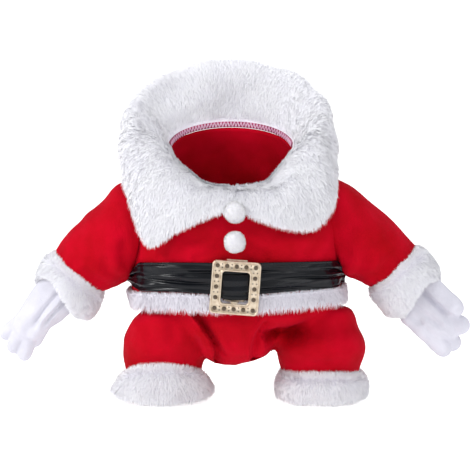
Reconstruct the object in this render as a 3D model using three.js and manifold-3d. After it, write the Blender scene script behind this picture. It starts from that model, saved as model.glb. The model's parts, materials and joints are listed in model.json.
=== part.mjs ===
// A dog's Christmas suit, filled out as it is worn: red velour jacket and front trousers, stuffed-look
// false arms that end in white fleece gloves, long-pile plush collar and trims, a black belt with a
// stone-set buckle, and two pompom buttons. The dog's front legs go down the trouser legs, its head
// comes out at the neck and its body leaves by the open seat. Millimetres, +Z up, the front faces -Y.
import * as THREE from "three";
import { mergeVertices } from "three/addons/utils/BufferGeometryUtils.js";
import Module from "manifold-3d";

const wasm = await Module();
wasm.setup();

// Driving sizes. Heights are measured up from the foot of the leg cuffs until the group is placed.
const SEAM_GAP = 0.3;
const VELOUR = 2;
const LEATHERETTE = 1.8;
const PLUSH_TRIM = 6;
const POMPOM_RADIUS = 10;
const HEM_HEIGHT = 87;
const WAIST_HEIGHT = 97;
const ANKLE_HEIGHTS = { left: 33.5, right: 30 };
const SIDE_SEAM_DEPTH = -2;

// The jacket's outside, as rounded sections: tilt lowers the front and lifts the back by that much,
// and left and right raise or sink the sides.
const JACKET = [
  { height: 84, halfWidth: 89.5, halfDepth: 62.4, shift: 3, tilt: 0, left: -4.5, right: -0.5, square: 2.4 },
  { height: 94, halfWidth: 90.5, halfDepth: 62.8, shift: 2.5, tilt: 0, left: -4.5, right: -0.5, square: 2.4 },
  { height: 104, halfWidth: 92.4, halfDepth: 63, shift: 0.5, tilt: 0, left: -4.5, right: -1, square: 2.4 },
  { height: 130, halfWidth: 92.6, halfDepth: 63, shift: 0, tilt: 0, left: -5, right: -3, square: 2.5 },
  { height: 150, halfWidth: 93.5, halfDepth: 64.5, shift: 0, tilt: 0, left: -2, right: -1, square: 2.6 },
  { height: 168, halfWidth: 92, halfDepth: 63.5, shift: -1, tilt: 1, left: 0, right: 0, square: 2.6 },
  { height: 184, halfWidth: 85, halfDepth: 60, shift: -2, tilt: 4, left: 1, right: 1, square: 2.5 },
  { height: 197, halfWidth: 72, halfDepth: 53, shift: -3, tilt: 13, left: 2, right: 2, square: 2.3 },
  { height: 207, halfWidth: 63, halfDepth: 47, shift: -4, tilt: 19, left: 3, right: 3, square: 2.1 },
  { height: 215.5, halfWidth: 56.4, halfDepth: 43, shift: -4.3, tilt: 23.8, left: 3.5, right: 3.5, square: 2 },
];
const NECK_HEIGHT = JACKET.at(-1).height;
const ARMHOLE = { foot: 134, top: 190, halfDepth: 31 };

// A false arm's sections, each by its upper and lower point seen from the front and its half depth.
const SLEEVES = {
  left: [
    { upX: -58, upZ: 190, lowX: -70, lowZ: 136, halfDepth: 28 },
    { upX: -80, upZ: 198, lowX: -86, lowZ: 120, halfDepth: 34 },
    { upX: -101, upZ: 194, lowX: -93, lowZ: 110.5, halfDepth: 37 },
    { upX: -119, upZ: 177.5, lowX: -100, lowZ: 106.5, halfDepth: 37 },
    { upX: -144.5, upZ: 154, lowX: -108, lowZ: 102, halfDepth: 32 },
    { upX: -160.5, upZ: 133, lowX: -117.5, lowZ: 97.9, halfDepth: 27.5 },
  ],
  right: [
    { upX: 52, upZ: 190, lowX: 70, lowZ: 140, halfDepth: 28 },
    { upX: 76, upZ: 198, lowX: 87, lowZ: 124, halfDepth: 34 },
    { upX: 98, upZ: 194, lowX: 95.5, lowZ: 114.5, halfDepth: 37 },
    { upX: 117.5, upZ: 178.5, lowX: 103, lowZ: 110.5, halfDepth: 37 },
    { upX: 142, upZ: 156, lowX: 111, lowZ: 106.5, halfDepth: 32 },
    { upX: 158.8, upZ: 137.5, lowX: 119.2, lowZ: 102, halfDepth: 27.5 },
  ],
};
const ARM_CUFFS = {
  left: [
    { upX: -161.7, upZ: 135.4, lowX: -114.9, lowZ: 97.2, halfDepth: 30 },
    { upX: -170, upZ: 127.5, lowX: -117, lowZ: 88, halfDepth: 34 },
    { upX: -176.5, upZ: 117.5, lowX: -120.5, lowZ: 80, halfDepth: 35 },
    { upX: -178, upZ: 107.5, lowX: -128, lowZ: 73, halfDepth: 31 },
    { upX: -173.5, upZ: 100, lowX: -139, lowZ: 74.5, halfDepth: 24 },
  ],
  right: [
    { upX: 160.2, upZ: 140.1, lowX: 116, lowZ: 101.1, halfDepth: 30 },
    { upX: 170.5, upZ: 133.5, lowX: 118, lowZ: 92, halfDepth: 34 },
    { upX: 178.5, upZ: 122, lowX: 122, lowZ: 84, halfDepth: 35 },
    { upX: 181, upZ: 109.5, lowX: 128.5, lowZ: 76, halfDepth: 31 },
    { upX: 176.5, upZ: 101, lowX: 140, lowZ: 75.5, halfDepth: 24 },
  ],
};

// A glove's stuffed lobes: the palm, then each finger, from root to tip, flattened front to back.
const GLOVES = {
  left: [
    { fromX: -155, fromZ: 95.5, toX: -181, toZ: 70, y: -2, fromRadius: 18, toRadius: 15, flat: 0.62 },
    { fromX: -183, fromZ: 77, toX: -203, toZ: 60.5, y: 2, fromRadius: 8, toRadius: 6, flat: 0.9 },
    { fromX: -183, fromZ: 71.5, toX: -195.5, toZ: 50, y: -2, fromRadius: 8, toRadius: 6.5, flat: 0.9 },
    { fromX: -179, fromZ: 67.5, toX: -186.5, toZ: 43, y: -3, fromRadius: 8, toRadius: 6.3, flat: 0.9 },
    { fromX: -169, fromZ: 71.5, toX: -176.5, toZ: 55, y: 0, fromRadius: 8, toRadius: 6, flat: 0.9 },
    { fromX: -153, fromZ: 87.5, toX: -178, toZ: 61.5, y: -9, fromRadius: 7, toRadius: 5.5, flat: 0.9 },
  ],
  right: [
    { fromX: 157, fromZ: 96, toX: 180, toZ: 69, y: 0, fromRadius: 19, toRadius: 18, flat: 0.55 },
    { fromX: 176, fromZ: 101, toX: 192, toZ: 85, y: -7, fromRadius: 8, toRadius: 8.5, flat: 0.9 },
    { fromX: 165, fromZ: 87, toX: 197, toZ: 68.5, y: -4, fromRadius: 8.5, toRadius: 8.5, flat: 0.9 },
    { fromX: 173, fromZ: 74.5, toX: 190.5, toZ: 53, y: 2, fromRadius: 9, toRadius: 8, flat: 0.9 },
    { fromX: 153, fromZ: 77, toX: 182.5, toZ: 48, y: -4, fromRadius: 8.5, toRadius: 7.5, flat: 0.9 },
  ],
};

// The trousers' front body sags into a pouch between the legs. Each leg is a tube that domes at its top.
const PELVIS = [
  { height: 33.5, halfWidth: 5, halfDepth: 8, shift: -5, back: -15 },
  { height: 35.5, halfWidth: 12, halfDepth: 16, shift: -5, back: -14.5 },
  { height: 39.5, halfWidth: 21, halfDepth: 24, shift: -3, back: -13.5 },
  { height: 46, halfWidth: 31, halfDepth: 33, shift: -1, back: -12 },
  { height: 54, halfWidth: 39, halfDepth: 43, shift: -1, back: -8 },
  { height: 64, halfWidth: 52, halfDepth: 52, shift: -3, back: -4 },
  { height: 74, halfWidth: 74, halfDepth: 58, shift: -1, back: -1 },
  { height: 84, halfWidth: 86.6, halfDepth: 59.5, shift: 2.8, back: 0 },
  { height: 94, halfWidth: 87.6, halfDepth: 59.9, shift: 2.4, back: 0 },
  { height: 104, halfWidth: 89.5, halfDepth: 60.1, shift: 0.5, back: 0 },
];
const LEGS = {
  left: [
    { height: 26, halfWidth: 33, halfDepth: 32, shift: -64, back: -1 },
    { height: 34, halfWidth: 34.5, halfDepth: 33.5, shift: -63.8, back: -2 },
    { height: 46, halfWidth: 37.5, halfDepth: 36.5, shift: -62, back: -4 },
    { height: 58, halfWidth: 39, halfDepth: 39, shift: -60.3, back: -7 },
    { height: 70, halfWidth: 37, halfDepth: 39.5, shift: -57.5, back: -10 },
    { height: 78, halfWidth: 33, halfDepth: 37, shift: -55, back: -12 },
    { height: 84, halfWidth: 26, halfDepth: 29, shift: -52, back: -13 },
    { height: 88, halfWidth: 12, halfDepth: 14, shift: -50, back: -13 },
  ],
  right: [
    { height: 26, halfWidth: 34, halfDepth: 32, shift: 74, back: -1 },
    { height: 34, halfWidth: 35.8, halfDepth: 33.5, shift: 74, back: -2 },
    { height: 48, halfWidth: 39.4, halfDepth: 37.5, shift: 74, back: -6 },
    { height: 58, halfWidth: 39, halfDepth: 38, shift: 72, back: -5 },
    { height: 68, halfWidth: 36.5, halfDepth: 36, shift: 69, back: -1 },
    { height: 78, halfWidth: 31, halfDepth: 34, shift: 64, back: 2 },
    { height: 84, halfWidth: 25, halfDepth: 28, shift: 60, back: 2 },
    { height: 88, halfWidth: 12, halfDepth: 14, shift: 58, back: 2 },
  ],
};
const LEG_SQUARE = 2.2;
const LEG_CUFFS = {
  left: [
    { height: 0, halfWidth: 40, halfDepth: 36, shift: -65, back: 0 },
    { height: 3, halfWidth: 44.5, halfDepth: 39.5, shift: -65, back: 0 },
    { height: 11, halfWidth: 46, halfDepth: 41, shift: -65, back: 0 },
    { height: 20, halfWidth: 43, halfDepth: 40, shift: -64.6, back: -1 },
    { height: 27, halfWidth: 39, halfDepth: 37.5, shift: -64.2, back: -2 },
    { height: 33.2, halfWidth: 35.8, halfDepth: 35, shift: -63.9, back: -2 },
  ],
  right: [
    { height: 0, halfWidth: 36.5, halfDepth: 35, shift: 75.5, back: -2 },
    { height: 3, halfWidth: 40, halfDepth: 38.5, shift: 75.5, back: -2 },
    { height: 10, halfWidth: 42, halfDepth: 40.5, shift: 75.5, back: -2 },
    { height: 19, halfWidth: 42, halfDepth: 40.5, shift: 75.3, back: -2 },
    { height: 26, halfWidth: 38.4, halfDepth: 37, shift: 74.8, back: -2 },
    { height: 29.7, halfWidth: 36.8, halfDepth: 35.6, shift: 74.2, back: -2 },
  ],
};

// The collar's profile at shares of the way round the neck, from the centre front by the left. It
// stands up off the neck seam, rolls over, and ends at its edge. The corners lie at 0.145 and 0.855.
const COLLAR = [
  { at: 0.004, stand: [-1.5, -51, 200], roll: [-2, -66, 196], edge: [-2.5, -68, 180] },
  { at: 0.05, stand: [-18, -50, 204], roll: [-22, -68, 199], edge: [-23, -69, 173] },
  { at: 0.1, stand: [-34, -46, 216], roll: [-46, -68, 209], edge: [-52, -67, 158] },
  { at: 0.145, stand: [-50, -36, 232], roll: [-72, -62, 228], edge: [-76, -58, 143.5] },
  { at: 0.19, stand: [-60, -22, 248], roll: [-93, -42, 246], edge: [-91, -46, 174] },
  { at: 0.24, stand: [-64, -5, 253], roll: [-102, -12, 260], edge: [-99, -16, 205] },
  { at: 0.3, stand: [-62, 14, 258], roll: [-102, 14, 276], edge: [-100, 14, 224] },
  { at: 0.36, stand: [-52, 32, 262], roll: [-91, 42, 294], edge: [-95, 44, 243] },
  { at: 0.43, stand: [-28, 45, 266], roll: [-50, 60, 313], edge: [-62, 75, 262] },
  { at: 0.5, stand: [-3, 49, 268], roll: [-3, 60, 322], edge: [-3, 84, 268] },
  { at: 0.57, stand: [22, 45, 266], roll: [42, 60, 313], edge: [54, 75, 262] },
  { at: 0.64, stand: [43, 32, 262], roll: [79, 42, 292], edge: [83, 44, 242] },
  { at: 0.7, stand: [53, 14, 258], roll: [88, 14, 274], edge: [87, 14, 222] },
  { at: 0.76, stand: [55, -5, 253], roll: [89, -12, 260], edge: [88, -16, 204] },
  { at: 0.81, stand: [51, -22, 248], roll: [83, -42, 246], edge: [85, -46, 178] },
  { at: 0.855, stand: [42, -36, 232], roll: [64, -62, 230], edge: [70, -61, 160] },
  { at: 0.9, stand: [30, -46, 215], roll: [43, -68, 208], edge: [48, -68, 161] },
  { at: 0.95, stand: [16, -50, 203], roll: [22, -68, 198], edge: [23, -69, 169] },
  { at: 0.996, stand: [0.5, -51, 200], roll: [1, -66, 196], edge: [2.5, -68, 180] },
];
// Half the collar's thickness, backing and pile together, at shares of the way from seam to edge.
const COLLAR_HALF = [
  { share: 0, half: 1.6 },
  { share: 0.15, half: 2.8 },
  { share: 0.5, half: 3.4 },
  { share: 0.85, half: 3.4 },
  { share: 1, half: 1.8 },
];

// Cross-sections of the bands that go round the jacket, as height and distance out from the velour.
const HEM_TRIM = [
  { height: 102, out: SEAM_GAP, dips: 1 },
  { height: 85.6, out: SEAM_GAP, dips: 0 },
  { height: 84.6, out: 3, dips: 0 },
  { height: 86.5, out: 5.2, dips: 0 },
  { height: 94, out: PLUSH_TRIM, dips: 0.5 },
  { height: 100, out: 5, dips: 1 },
];
const BELT = [
  { height: 130.4, out: 0, dips: 0 },
  { height: 116, out: 0.2, dips: 0 },
  { height: 102.4, out: 0, dips: 1 },
  { height: 102.4, out: LEATHERETTE, dips: 1 },
  { height: 107, out: LEATHERETTE + 0.7, dips: 0.8 },
  { height: 111, out: LEATHERETTE, dips: 0.6 },
  { height: 116, out: LEATHERETTE + 0.9, dips: 0.4 },
  { height: 120.5, out: LEATHERETTE, dips: 0.2 },
  { height: 125.5, out: LEATHERETTE + 0.8, dips: 0 },
  { height: 130.4, out: LEATHERETTE, dips: 0 },
];
// Behind the buckle the belt rises over the bar, and its lower edge dips with the trim below it.
const BELT_AT_BUCKLE = { rise: 3.4, dip: 4.6, halfWidth: 16 };

const BUCKLE = {
  x: -0.7,
  z: 109.2,
  width: 42.8,
  height: 46.8,
  windowWidth: 24,
  windowHeight: 28,
  corner: 4,
  thickness: 2.6,
  turn: THREE.MathUtils.degToRad(4.3),
  barWidth: 18,
  barThickness: 1.6,
  barShows: 1.3,
  postWidth: 6,
};
const POMPOM_HEIGHTS = { upper: 175.2, lower: 149.5 };

const STEPS = {
  panel: 7,
  armhole: 8,
  sleeve: 16,
  ring: 56,
  pelvis: 26,
  leg: 18,
  collarRound: 22,
  collarAcross: 7,
  lobe: 10,
};

// Returns a smooth function of one named column of a table against another.
function column(rows, by, name) {
  const at = rows.map((row) => row[by]);
  const value = rows.map((row) => row[name]);
  const last = rows.length - 1;
  const slope = (i) => {
    const before = Math.max(i - 1, 0);
    const after = Math.min(i + 1, last);
    return (value[after] - value[before]) / (at[after] - at[before]);
  };
  return (t) => {
    let i = 0;
    while (i < last - 1 && at[i + 1] < t) i += 1;
    const span = at[i + 1] - at[i];
    const s = Math.min(Math.max((t - at[i]) / span, 0), 1);
    const s2 = s * s;
    const s3 = s2 * s;
    return (
      value[i] * (2 * s3 - 3 * s2 + 1) +
      slope(i) * span * (s3 - 2 * s2 + s) +
      value[i + 1] * (3 * s2 - 2 * s3) +
      slope(i + 1) * span * (s3 - s2)
    );
  };
}

// A point on a rounded section: square 2 is an ellipse, and more is boxier.
function roundedSection(angle, halfWidth, halfDepth, square) {
  const power = 2 / square;
  const c = Math.cos(angle);
  const s = Math.sin(angle);
  return [
    halfWidth * Math.sign(c) * Math.abs(c) ** power,
    halfDepth * Math.sign(s) * Math.abs(s) ** power,
  ];
}

const jacketColumns = Object.fromEntries(
  Object.keys(JACKET[0]).map((name) => [name, column(JACKET, "height", name)]),
);

// A point on the jacket's outside, moved out by a distance. Angle 0 is +X and a quarter turn is the back.
function jacketPoint(angle, height, out = 0) {
  const [x, y] = roundedSection(
    angle,
    jacketColumns.halfWidth(height) + out,
    jacketColumns.halfDepth(height) + out,
    jacketColumns.square(height),
  );
  const lift = Math.cos(angle) < 0 ? jacketColumns.left(height) : jacketColumns.right(height);
  const z = height + jacketColumns.tilt(height) * Math.sin(angle) + lift * Math.cos(angle) ** 2;
  return new THREE.Vector3(x + jacketColumns.shift(height), y, z);
}

// A closed surface from lists of points and triangles, turned so that its faces point out.
function surface(points, triangles) {
  const geometry = new THREE.BufferGeometry();
  const values = points.flatMap((p) => [p.x, p.y, p.z]);
  geometry.setAttribute("position", new THREE.Float32BufferAttribute(values, 3));
  let volume = 0;
  const cross = new THREE.Vector3();
  for (const [a, b, c] of triangles) {
    volume += points[a].dot(cross.crossVectors(points[b], points[c]));
  }
  geometry.setIndex(triangles.flatMap(([a, b, c]) => (volume > 0 ? [a, b, c] : [a, c, b])));
  return geometry;
}

// Normals of a grid of points, one for each, by the differences to its neighbours.
function gridNormals(grid, closed) {
  const rows = grid.length;
  const across = grid[0].length;
  return grid.map((row, j) =>
    row.map((_, i) => {
      const next = closed ? (i + 1) % across : Math.min(i + 1, across - 1);
      const before = closed ? (i + across - 1) % across : Math.max(i - 1, 0);
      const along = row[next].clone().sub(row[before]);
      const up = grid[Math.min(j + 1, rows - 1)][i].clone().sub(grid[Math.max(j - 1, 0)][i]);
      return along.cross(up).normalize();
    }),
  );
}

// A closed wall between two grids of points that match.
function layeredWall(nearGrid, farGrid, closed = false) {
  const rows = nearGrid.length;
  const across = nearGrid[0].length;
  const points = [...nearGrid.flat(), ...farGrid.flat()];
  const side = rows * across;
  const triangles = [];
  const quad = (a, b, c, d) => triangles.push([a, b, c], [a, c, d]);
  const spans = closed ? across : across - 1;
  for (let j = 0; j < rows - 1; j += 1) {
    for (let i = 0; i < spans; i += 1) {
      const a = j * across + i;
      const b = j * across + ((i + 1) % across);
      quad(a, b, b + across, a + across);
      quad(side + a, side + a + across, side + b + across, side + b);
    }
  }
  for (let i = 0; i < spans; i += 1) {
    const b = (i + 1) % across;
    const top = (rows - 1) * across;
    quad(b, i, side + i, side + b);
    quad(top + i, top + b, side + top + b, side + top + i);
  }
  if (!closed) {
    for (let j = 0; j < rows - 1; j += 1) {
      const a = j * across;
      const b = a + across - 1;
      quad(a, a + across, side + a + across, side + a);
      quad(b + across, b, side + b, side + b + across);
    }
  }
  return surface(points, triangles);
}

// A cloth wall on a grid: the grid's points are moved along their normals by near and by far.
function wall(grid, near, far, closed = false) {
  const normals = gridNormals(grid, closed);
  const moved = (amount) => {
    const at = typeof amount === "function" ? amount : () => amount;
    return grid.map((row, j) => row.map((p, i) => p.clone().addScaledVector(normals[j][i], at(i, j))));
  };
  return layeredWall(moved(near), moved(far), closed);
}

// A solid through closed rings, with a flat fan at each end.
function filled(rings) {
  const across = rings[0].length;
  const points = rings.flat();
  const triangles = [];
  for (let j = 0; j < rings.length - 1; j += 1) {
    for (let i = 0; i < across; i += 1) {
      const a = j * across + i;
      const b = j * across + ((i + 1) % across);
      triangles.push([a, b, b + across], [a, b + across, a + across]);
    }
  }
  for (const [ring, first] of [[rings[0], 0], [rings.at(-1), (rings.length - 1) * across]]) {
    const centre = ring.reduce((sum, p) => sum.add(p), new THREE.Vector3()).divideScalar(across);
    const hub = points.push(centre) - 1;
    for (let i = 0; i < across; i += 1) {
      const edge = [first + i, first + ((i + 1) % across)];
      triangles.push(first === 0 ? [hub, edge[1], edge[0]] : [hub, edge[0], edge[1]]);
    }
  }
  return surface(points, triangles);
}

// A ring whose section, a closed loop of points, is carried round by a function of the angle.
function band(section, pointAt, steps) {
  const rings = Array.from({ length: steps }, (_, i) => {
    const angle = (i / steps) * 2 * Math.PI;
    return section.map((row) => pointAt(angle, row));
  });
  const across = section.length;
  const triangles = [];
  for (let i = 0; i < steps; i += 1) {
    for (let k = 0; k < across; k += 1) {
      const a = i * across + k;
      const b = i * across + ((k + 1) % across);
      const c = ((i + 1) % steps) * across + ((k + 1) % across);
      const d = ((i + 1) % steps) * across + k;
      triangles.push([a, b, c], [a, c, d]);
    }
  }
  return surface(rings.flat(), triangles);
}

function solid(geometry) {
  const bare = geometry.clone();
  bare.deleteAttribute("normal");
  bare.deleteAttribute("uv");
  const merged = mergeVertices(bare, 1e-4);
  return new wasm.Manifold(
    new wasm.Mesh({
      numProp: 3,
      vertProperties: new Float32Array(merged.attributes.position.array),
      triVerts: new Uint32Array(merged.index.array),
    }),
  );
}

// The geometry of a solid's largest body, so that no scrap of a cut is left.
function geometryOf(manifold) {
  const body = manifold.decompose().sort((a, b) => b.volume() - a.volume())[0];
  const mesh = body.getMesh();
  const geometry = new THREE.BufferGeometry();
  geometry.setAttribute("position", new THREE.BufferAttribute(mesh.vertProperties, 3));
  geometry.setIndex(new THREE.BufferAttribute(mesh.triVerts, 1));
  return geometry;
}

function box(low, high) {
  const size = high.map((value, i) => value - low[i]);
  const geometry = new THREE.BoxGeometry(...size);
  geometry.translate(...low.map((value, i) => value + size[i] / 2));
  return solid(geometry);
}

// Rings of a table of rounded sections that stand one above another, grown by a clearance.
function stackedRings(rows, steps, grow, heights, square) {
  const names = ["halfWidth", "halfDepth", "shift", "back"];
  const at = Object.fromEntries(names.map((name) => [name, column(rows, "height", name)]));
  return heights.map((height) =>
    Array.from({ length: steps }, (_, i) => {
      const angle = (i / steps) * 2 * Math.PI;
      const [x, y] = roundedSection(angle, at.halfWidth(height) + grow, at.halfDepth(height) + grow, square);
      return new THREE.Vector3(x + at.shift(height), y + at.back(height), height);
    }),
  );
}

// Rings of an arm's table, from the shoulder to the wrist.
function armRings(rows, steps, between = 1) {
  const names = ["upX", "upZ", "lowX", "lowZ", "halfDepth"];
  const counted = rows.map((row, index) => ({ ...row, index }));
  const at = Object.fromEntries(names.map((name) => [name, column(counted, "index", name)]));
  const count = (rows.length - 1) * between;
  return Array.from({ length: count + 1 }, (_, j) => {
    const t = j / between;
    const up = new THREE.Vector3(at.upX(t), SIDE_SEAM_DEPTH, at.upZ(t));
    const low = new THREE.Vector3(at.lowX(t), SIDE_SEAM_DEPTH, at.lowZ(t));
    const centre = up.clone().add(low).multiplyScalar(0.5);
    const half = up.sub(low).multiplyScalar(0.5);
    return Array.from({ length: steps }, (_unused, i) => {
      const angle = (i / steps) * 2 * Math.PI;
      const depth = new THREE.Vector3(0, at.halfDepth(t) * Math.sin(angle), 0);
      return centre.clone().addScaledVector(half, Math.cos(angle)).add(depth);
    });
  });
}

// Moves every point of closed rings along its normal, outwards where the rings' own order faces out.
function grownRings(rings, amount) {
  const normals = gridNormals(rings, true);
  const points = rings.flat();
  const centre = points.reduce((sum, p) => sum.add(p), new THREE.Vector3()).divideScalar(points.length);
  const probe = rings[Math.floor(rings.length / 2)][0].clone().sub(centre);
  const facing = probe.dot(normals[Math.floor(rings.length / 2)][0]) > 0 ? 1 : -1;
  const step = amount * facing;
  return rings.map((ring, j) => ring.map((p, i) => p.clone().addScaledVector(normals[j][i], step)));
}

function tubeWall(rings, thickness) {
  const grown = grownRings(rings, -thickness);
  const inward = grown[1][0].clone().sub(rings[1][0]);
  const facing = inward.dot(gridNormals(rings, true)[1][0]) > 0 ? 1 : -1;
  return wall(rings, 0, facing * thickness, true);
}

// Heights of the jacket panels' rows. Round the armhole they follow even turns of its curve.
const armholeMiddle = (ARMHOLE.top + ARMHOLE.foot) / 2;
const armholeHalf = (ARMHOLE.top - ARMHOLE.foot) / 2;
const panelRows = [
  ...[HEM_HEIGHT, 94, 102, 110, 120, 129].map((height) => ({ height, open: 0 })),
  ...Array.from({ length: STEPS.armhole + 1 }, (_, j) => {
    const turn = (j / STEPS.armhole) * Math.PI;
    return { height: armholeMiddle - armholeHalf * Math.cos(turn), open: ARMHOLE.halfDepth * Math.sin(turn) };
  }),
  ...[196, 203, 210, NECK_HEIGHT].map((height) => ({ height, open: 0 })),
];

// A jacket panel from its side seam to the middle. Facing -1 is the front and +1 is the back, and
// side -1 is the viewer's left and +1 is the right.
function jacketPanel(facing, side) {
  const layer = (thickness) =>
    panelRows.map(({ height, open }) => {
      const slope = jacketColumns.halfWidth(height + 1) - jacketColumns.halfWidth(height - 1);
      const inset = thickness * Math.hypot(1, slope / 2);
      const depth = jacketColumns.halfDepth(height) - inset;
      const width = jacketColumns.halfWidth(height) - inset;
      const power = jacketColumns.square(height) / 2;
      const start = Math.asin(Math.min((open + SEAM_GAP / 2) / depth, 1) ** power);
      const end = Math.acos((SEAM_GAP / 2 / width) ** power);
      return Array.from({ length: STEPS.panel + 1 }, (_, i) => {
        const angle = start + (end - start) * (i / STEPS.panel);
        return jacketPoint(facing * (side > 0 ? angle : Math.PI - angle), height, -inset);
      });
    });
  return layeredWall(layer(0), layer(VELOUR));
}

// The jacket without its hollow, grown by a clearance, to cut what lies against it.
function jacketForm(grow) {
  const heights = [80, ...panelRows.map((row) => row.height)];
  const rings = heights.map((height) =>
    Array.from({ length: STEPS.ring }, (_, i) => jacketPoint((i / STEPS.ring) * 2 * Math.PI, height, grow)),
  );
  rings.at(-1).forEach((p) => {
    p.z += grow;
  });
  return solid(filled(rings));
}

// A false arm without its hollow, grown by a clearance, past its end too.
function sleeveForm(side, grow) {
  const rings = grownRings(armRings(SLEEVES[side], STEPS.sleeve, 2), grow);
  const [before, end] = rings.slice(-2);
  const half = STEPS.sleeve / 2;
  const along = end[0].clone().add(end[half]).sub(before[0]).sub(before[half]);
  const step = along.normalize().multiplyScalar(grow);
  return solid(filled([...rings, end.map((p) => p.clone().add(step))]));
}

// How near an angle round the jacket is to the buckle: 1 behind it and 0 away from it.
function nearBuckle(angle) {
  const x = jacketPoint(angle, BUCKLE.z).x - BUCKLE.x;
  return Math.sin(angle) < 0 ? Math.exp(-((x / BELT_AT_BUCKLE.halfWidth) ** 4)) : 0;
}

function beltPoint(angle, row) {
  const near = nearBuckle(angle);
  const height = row.height - row.dips * near * BELT_AT_BUCKLE.dip;
  return jacketPoint(angle, height, SEAM_GAP + near * BELT_AT_BUCKLE.rise + row.out);
}

function trimPoint(angle, row) {
  return jacketPoint(angle, row.height - row.dips * nearBuckle(angle) * BELT_AT_BUCKLE.dip, row.out);
}

// A lobe of a glove: rings along a straight line, with a round end at each tip.
function lobe({ fromX, fromZ, toX, toZ, y, fromRadius, toRadius, flat }) {
  const from = new THREE.Vector3(fromX, y, fromZ);
  const to = new THREE.Vector3(toX, y, toZ);
  const along = to.clone().sub(from).normalize();
  const across = new THREE.Vector3(-along.z, 0, along.x);
  const endTurns = [-85, -50, -20, 0];
  const rings = [];
  for (const [end, radius, sign] of [[from, fromRadius, 1], [to, toRadius, -1]]) {
    const turns = sign > 0 ? endTurns : endTurns.slice().reverse();
    for (const degrees of turns) {
      const turn = THREE.MathUtils.degToRad(degrees);
      const centre = end.clone().addScaledVector(along, sign * radius * Math.sin(turn));
      const r = radius * Math.cos(turn);
      rings.push(
        Array.from({ length: STEPS.lobe }, (_, i) => {
          const angle = (i / STEPS.lobe) * 2 * Math.PI;
          const p = centre.clone().addScaledVector(across, r * Math.cos(angle));
          p.y += r * flat * Math.sin(angle);
          return p;
        }),
      );
    }
  }
  return solid(filled(rings));
}

function unionOf(solids) {
  return solids.reduce((sum, next) => sum.add(next));
}

const heightsOf = (rows) => rows.map((row) => row.height);

function legForm(side, grow) {
  return solid(filled(stackedRings(LEGS[side], STEPS.leg, grow, heightsOf(LEGS[side]), LEG_SQUARE)));
}

function pelvisForm(grow) {
  const rings = stackedRings(PELVIS, STEPS.pelvis, grow, heightsOf(PELVIS), LEG_SQUARE);
  rings[0].forEach((p) => {
    p.z -= grow;
  });
  return solid(filled(rings));
}

const FAR = 300;

// Half of the trousers' front: the pouch up to the middle seam and the front of one leg, open at
// the waist and the ankle.
function trouserFront(side) {
  const outer = unionOf([pelvisForm(0), legForm("left", 0), legForm("right", 0)]);
  const inner = unionOf([pelvisForm(-VELOUR), legForm("left", -VELOUR), legForm("right", -VELOUR)]);
  const back = SIDE_SEAM_DEPTH - SEAM_GAP / 2;
  const [low, high] = side === "left" ? [-FAR, -SEAM_GAP / 2] : [SEAM_GAP / 2, FAR];
  const room = box([low, -FAR, ANKLE_HEIGHTS[side]], [high, back, WAIST_HEIGHT]);
  return outer.subtract(inner).intersect(room);
}

// The back of a trouser leg, cut on a slope from the crotch up to the side seam.
function legBack(side) {
  const { crotchX, sideX } = side === "left" ? { crotchX: -26, sideX: -96 } : { crotchX: 36, sideX: 108 };
  const crotchHeight = 47;
  const sideHeight = 80;
  const tube = legForm(side, 0).subtract(legForm(side, -VELOUR));
  const room = box([-FAR, SIDE_SEAM_DEPTH + SEAM_GAP / 2, ANKLE_HEIGHTS[side]], [FAR, FAR, WAIST_HEIGHT]);
  const slope = (sideHeight - crotchHeight) / (sideX - crotchX);
  const heightAt = (x) => crotchHeight + slope * (x - crotchX);
  const outline = new THREE.Shape([
    new THREE.Vector2(-FAR, heightAt(-FAR)),
    new THREE.Vector2(FAR, heightAt(FAR)),
    new THREE.Vector2(FAR, 2 * FAR),
    new THREE.Vector2(-FAR, 2 * FAR),
  ]);
  const above = new THREE.ExtrudeGeometry(outline, { depth: 2 * FAR, bevelEnabled: false });
  above.rotateX(Math.PI / 2);
  above.translate(0, FAR, 0);
  return tube.intersect(room).subtract(solid(above));
}

function neckPoint(share) {
  const angle = -Math.PI / 2 - share * 2 * Math.PI;
  return jacketPoint(angle, NECK_HEIGHT, -VELOUR / 2).add(new THREE.Vector3(0, 0, SEAM_GAP));
}

// The collar's handles as functions of the share round the neck.
const collarHandles = ["stand", "roll", "edge"].map((name) => {
  const axes = [0, 1, 2].map((axis) => {
    const rows = COLLAR.map((row) => ({ at: row.at, value: row[name][axis] }));
    return column(rows, "at", "value");
  });
  return (share) => new THREE.Vector3(...axes.map((value) => value(share)));
});

// A point of the collar's middle surface: share goes round the neck and across from seam to edge.
function collarPoint(share, across) {
  const handles = collarHandles.map((at) => at(share));
  return new THREE.CubicBezierCurve3(neckPoint(share), ...handles).getPoint(across);
}

// Half of the collar, from the centre front to the seam at the centre back.
function collarWall(side) {
  const [first, last] = side === "left" ? [COLLAR[0].at, 0.4996] : [0.5004, COLLAR.at(-1).at];
  const span = last - first;
  const half = column(COLLAR_HALF, "share", "half");
  const grid = Array.from({ length: STEPS.collarAcross + 1 }, (_, j) =>
    Array.from({ length: STEPS.collarRound + 1 }, (_unused, i) =>
      collarPoint(first + (span * i) / STEPS.collarRound, j / STEPS.collarAcross),
    ),
  );
  const thickness = (i, j) => half(j / STEPS.collarAcross);
  return solid(wall(grid, thickness, (i, j) => -thickness(i, j)));
}

// How far forward the jacket's front lies at a height on the centre line.
function frontAt(height) {
  return jacketPoint(-Math.PI / 2, height).y;
}

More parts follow.
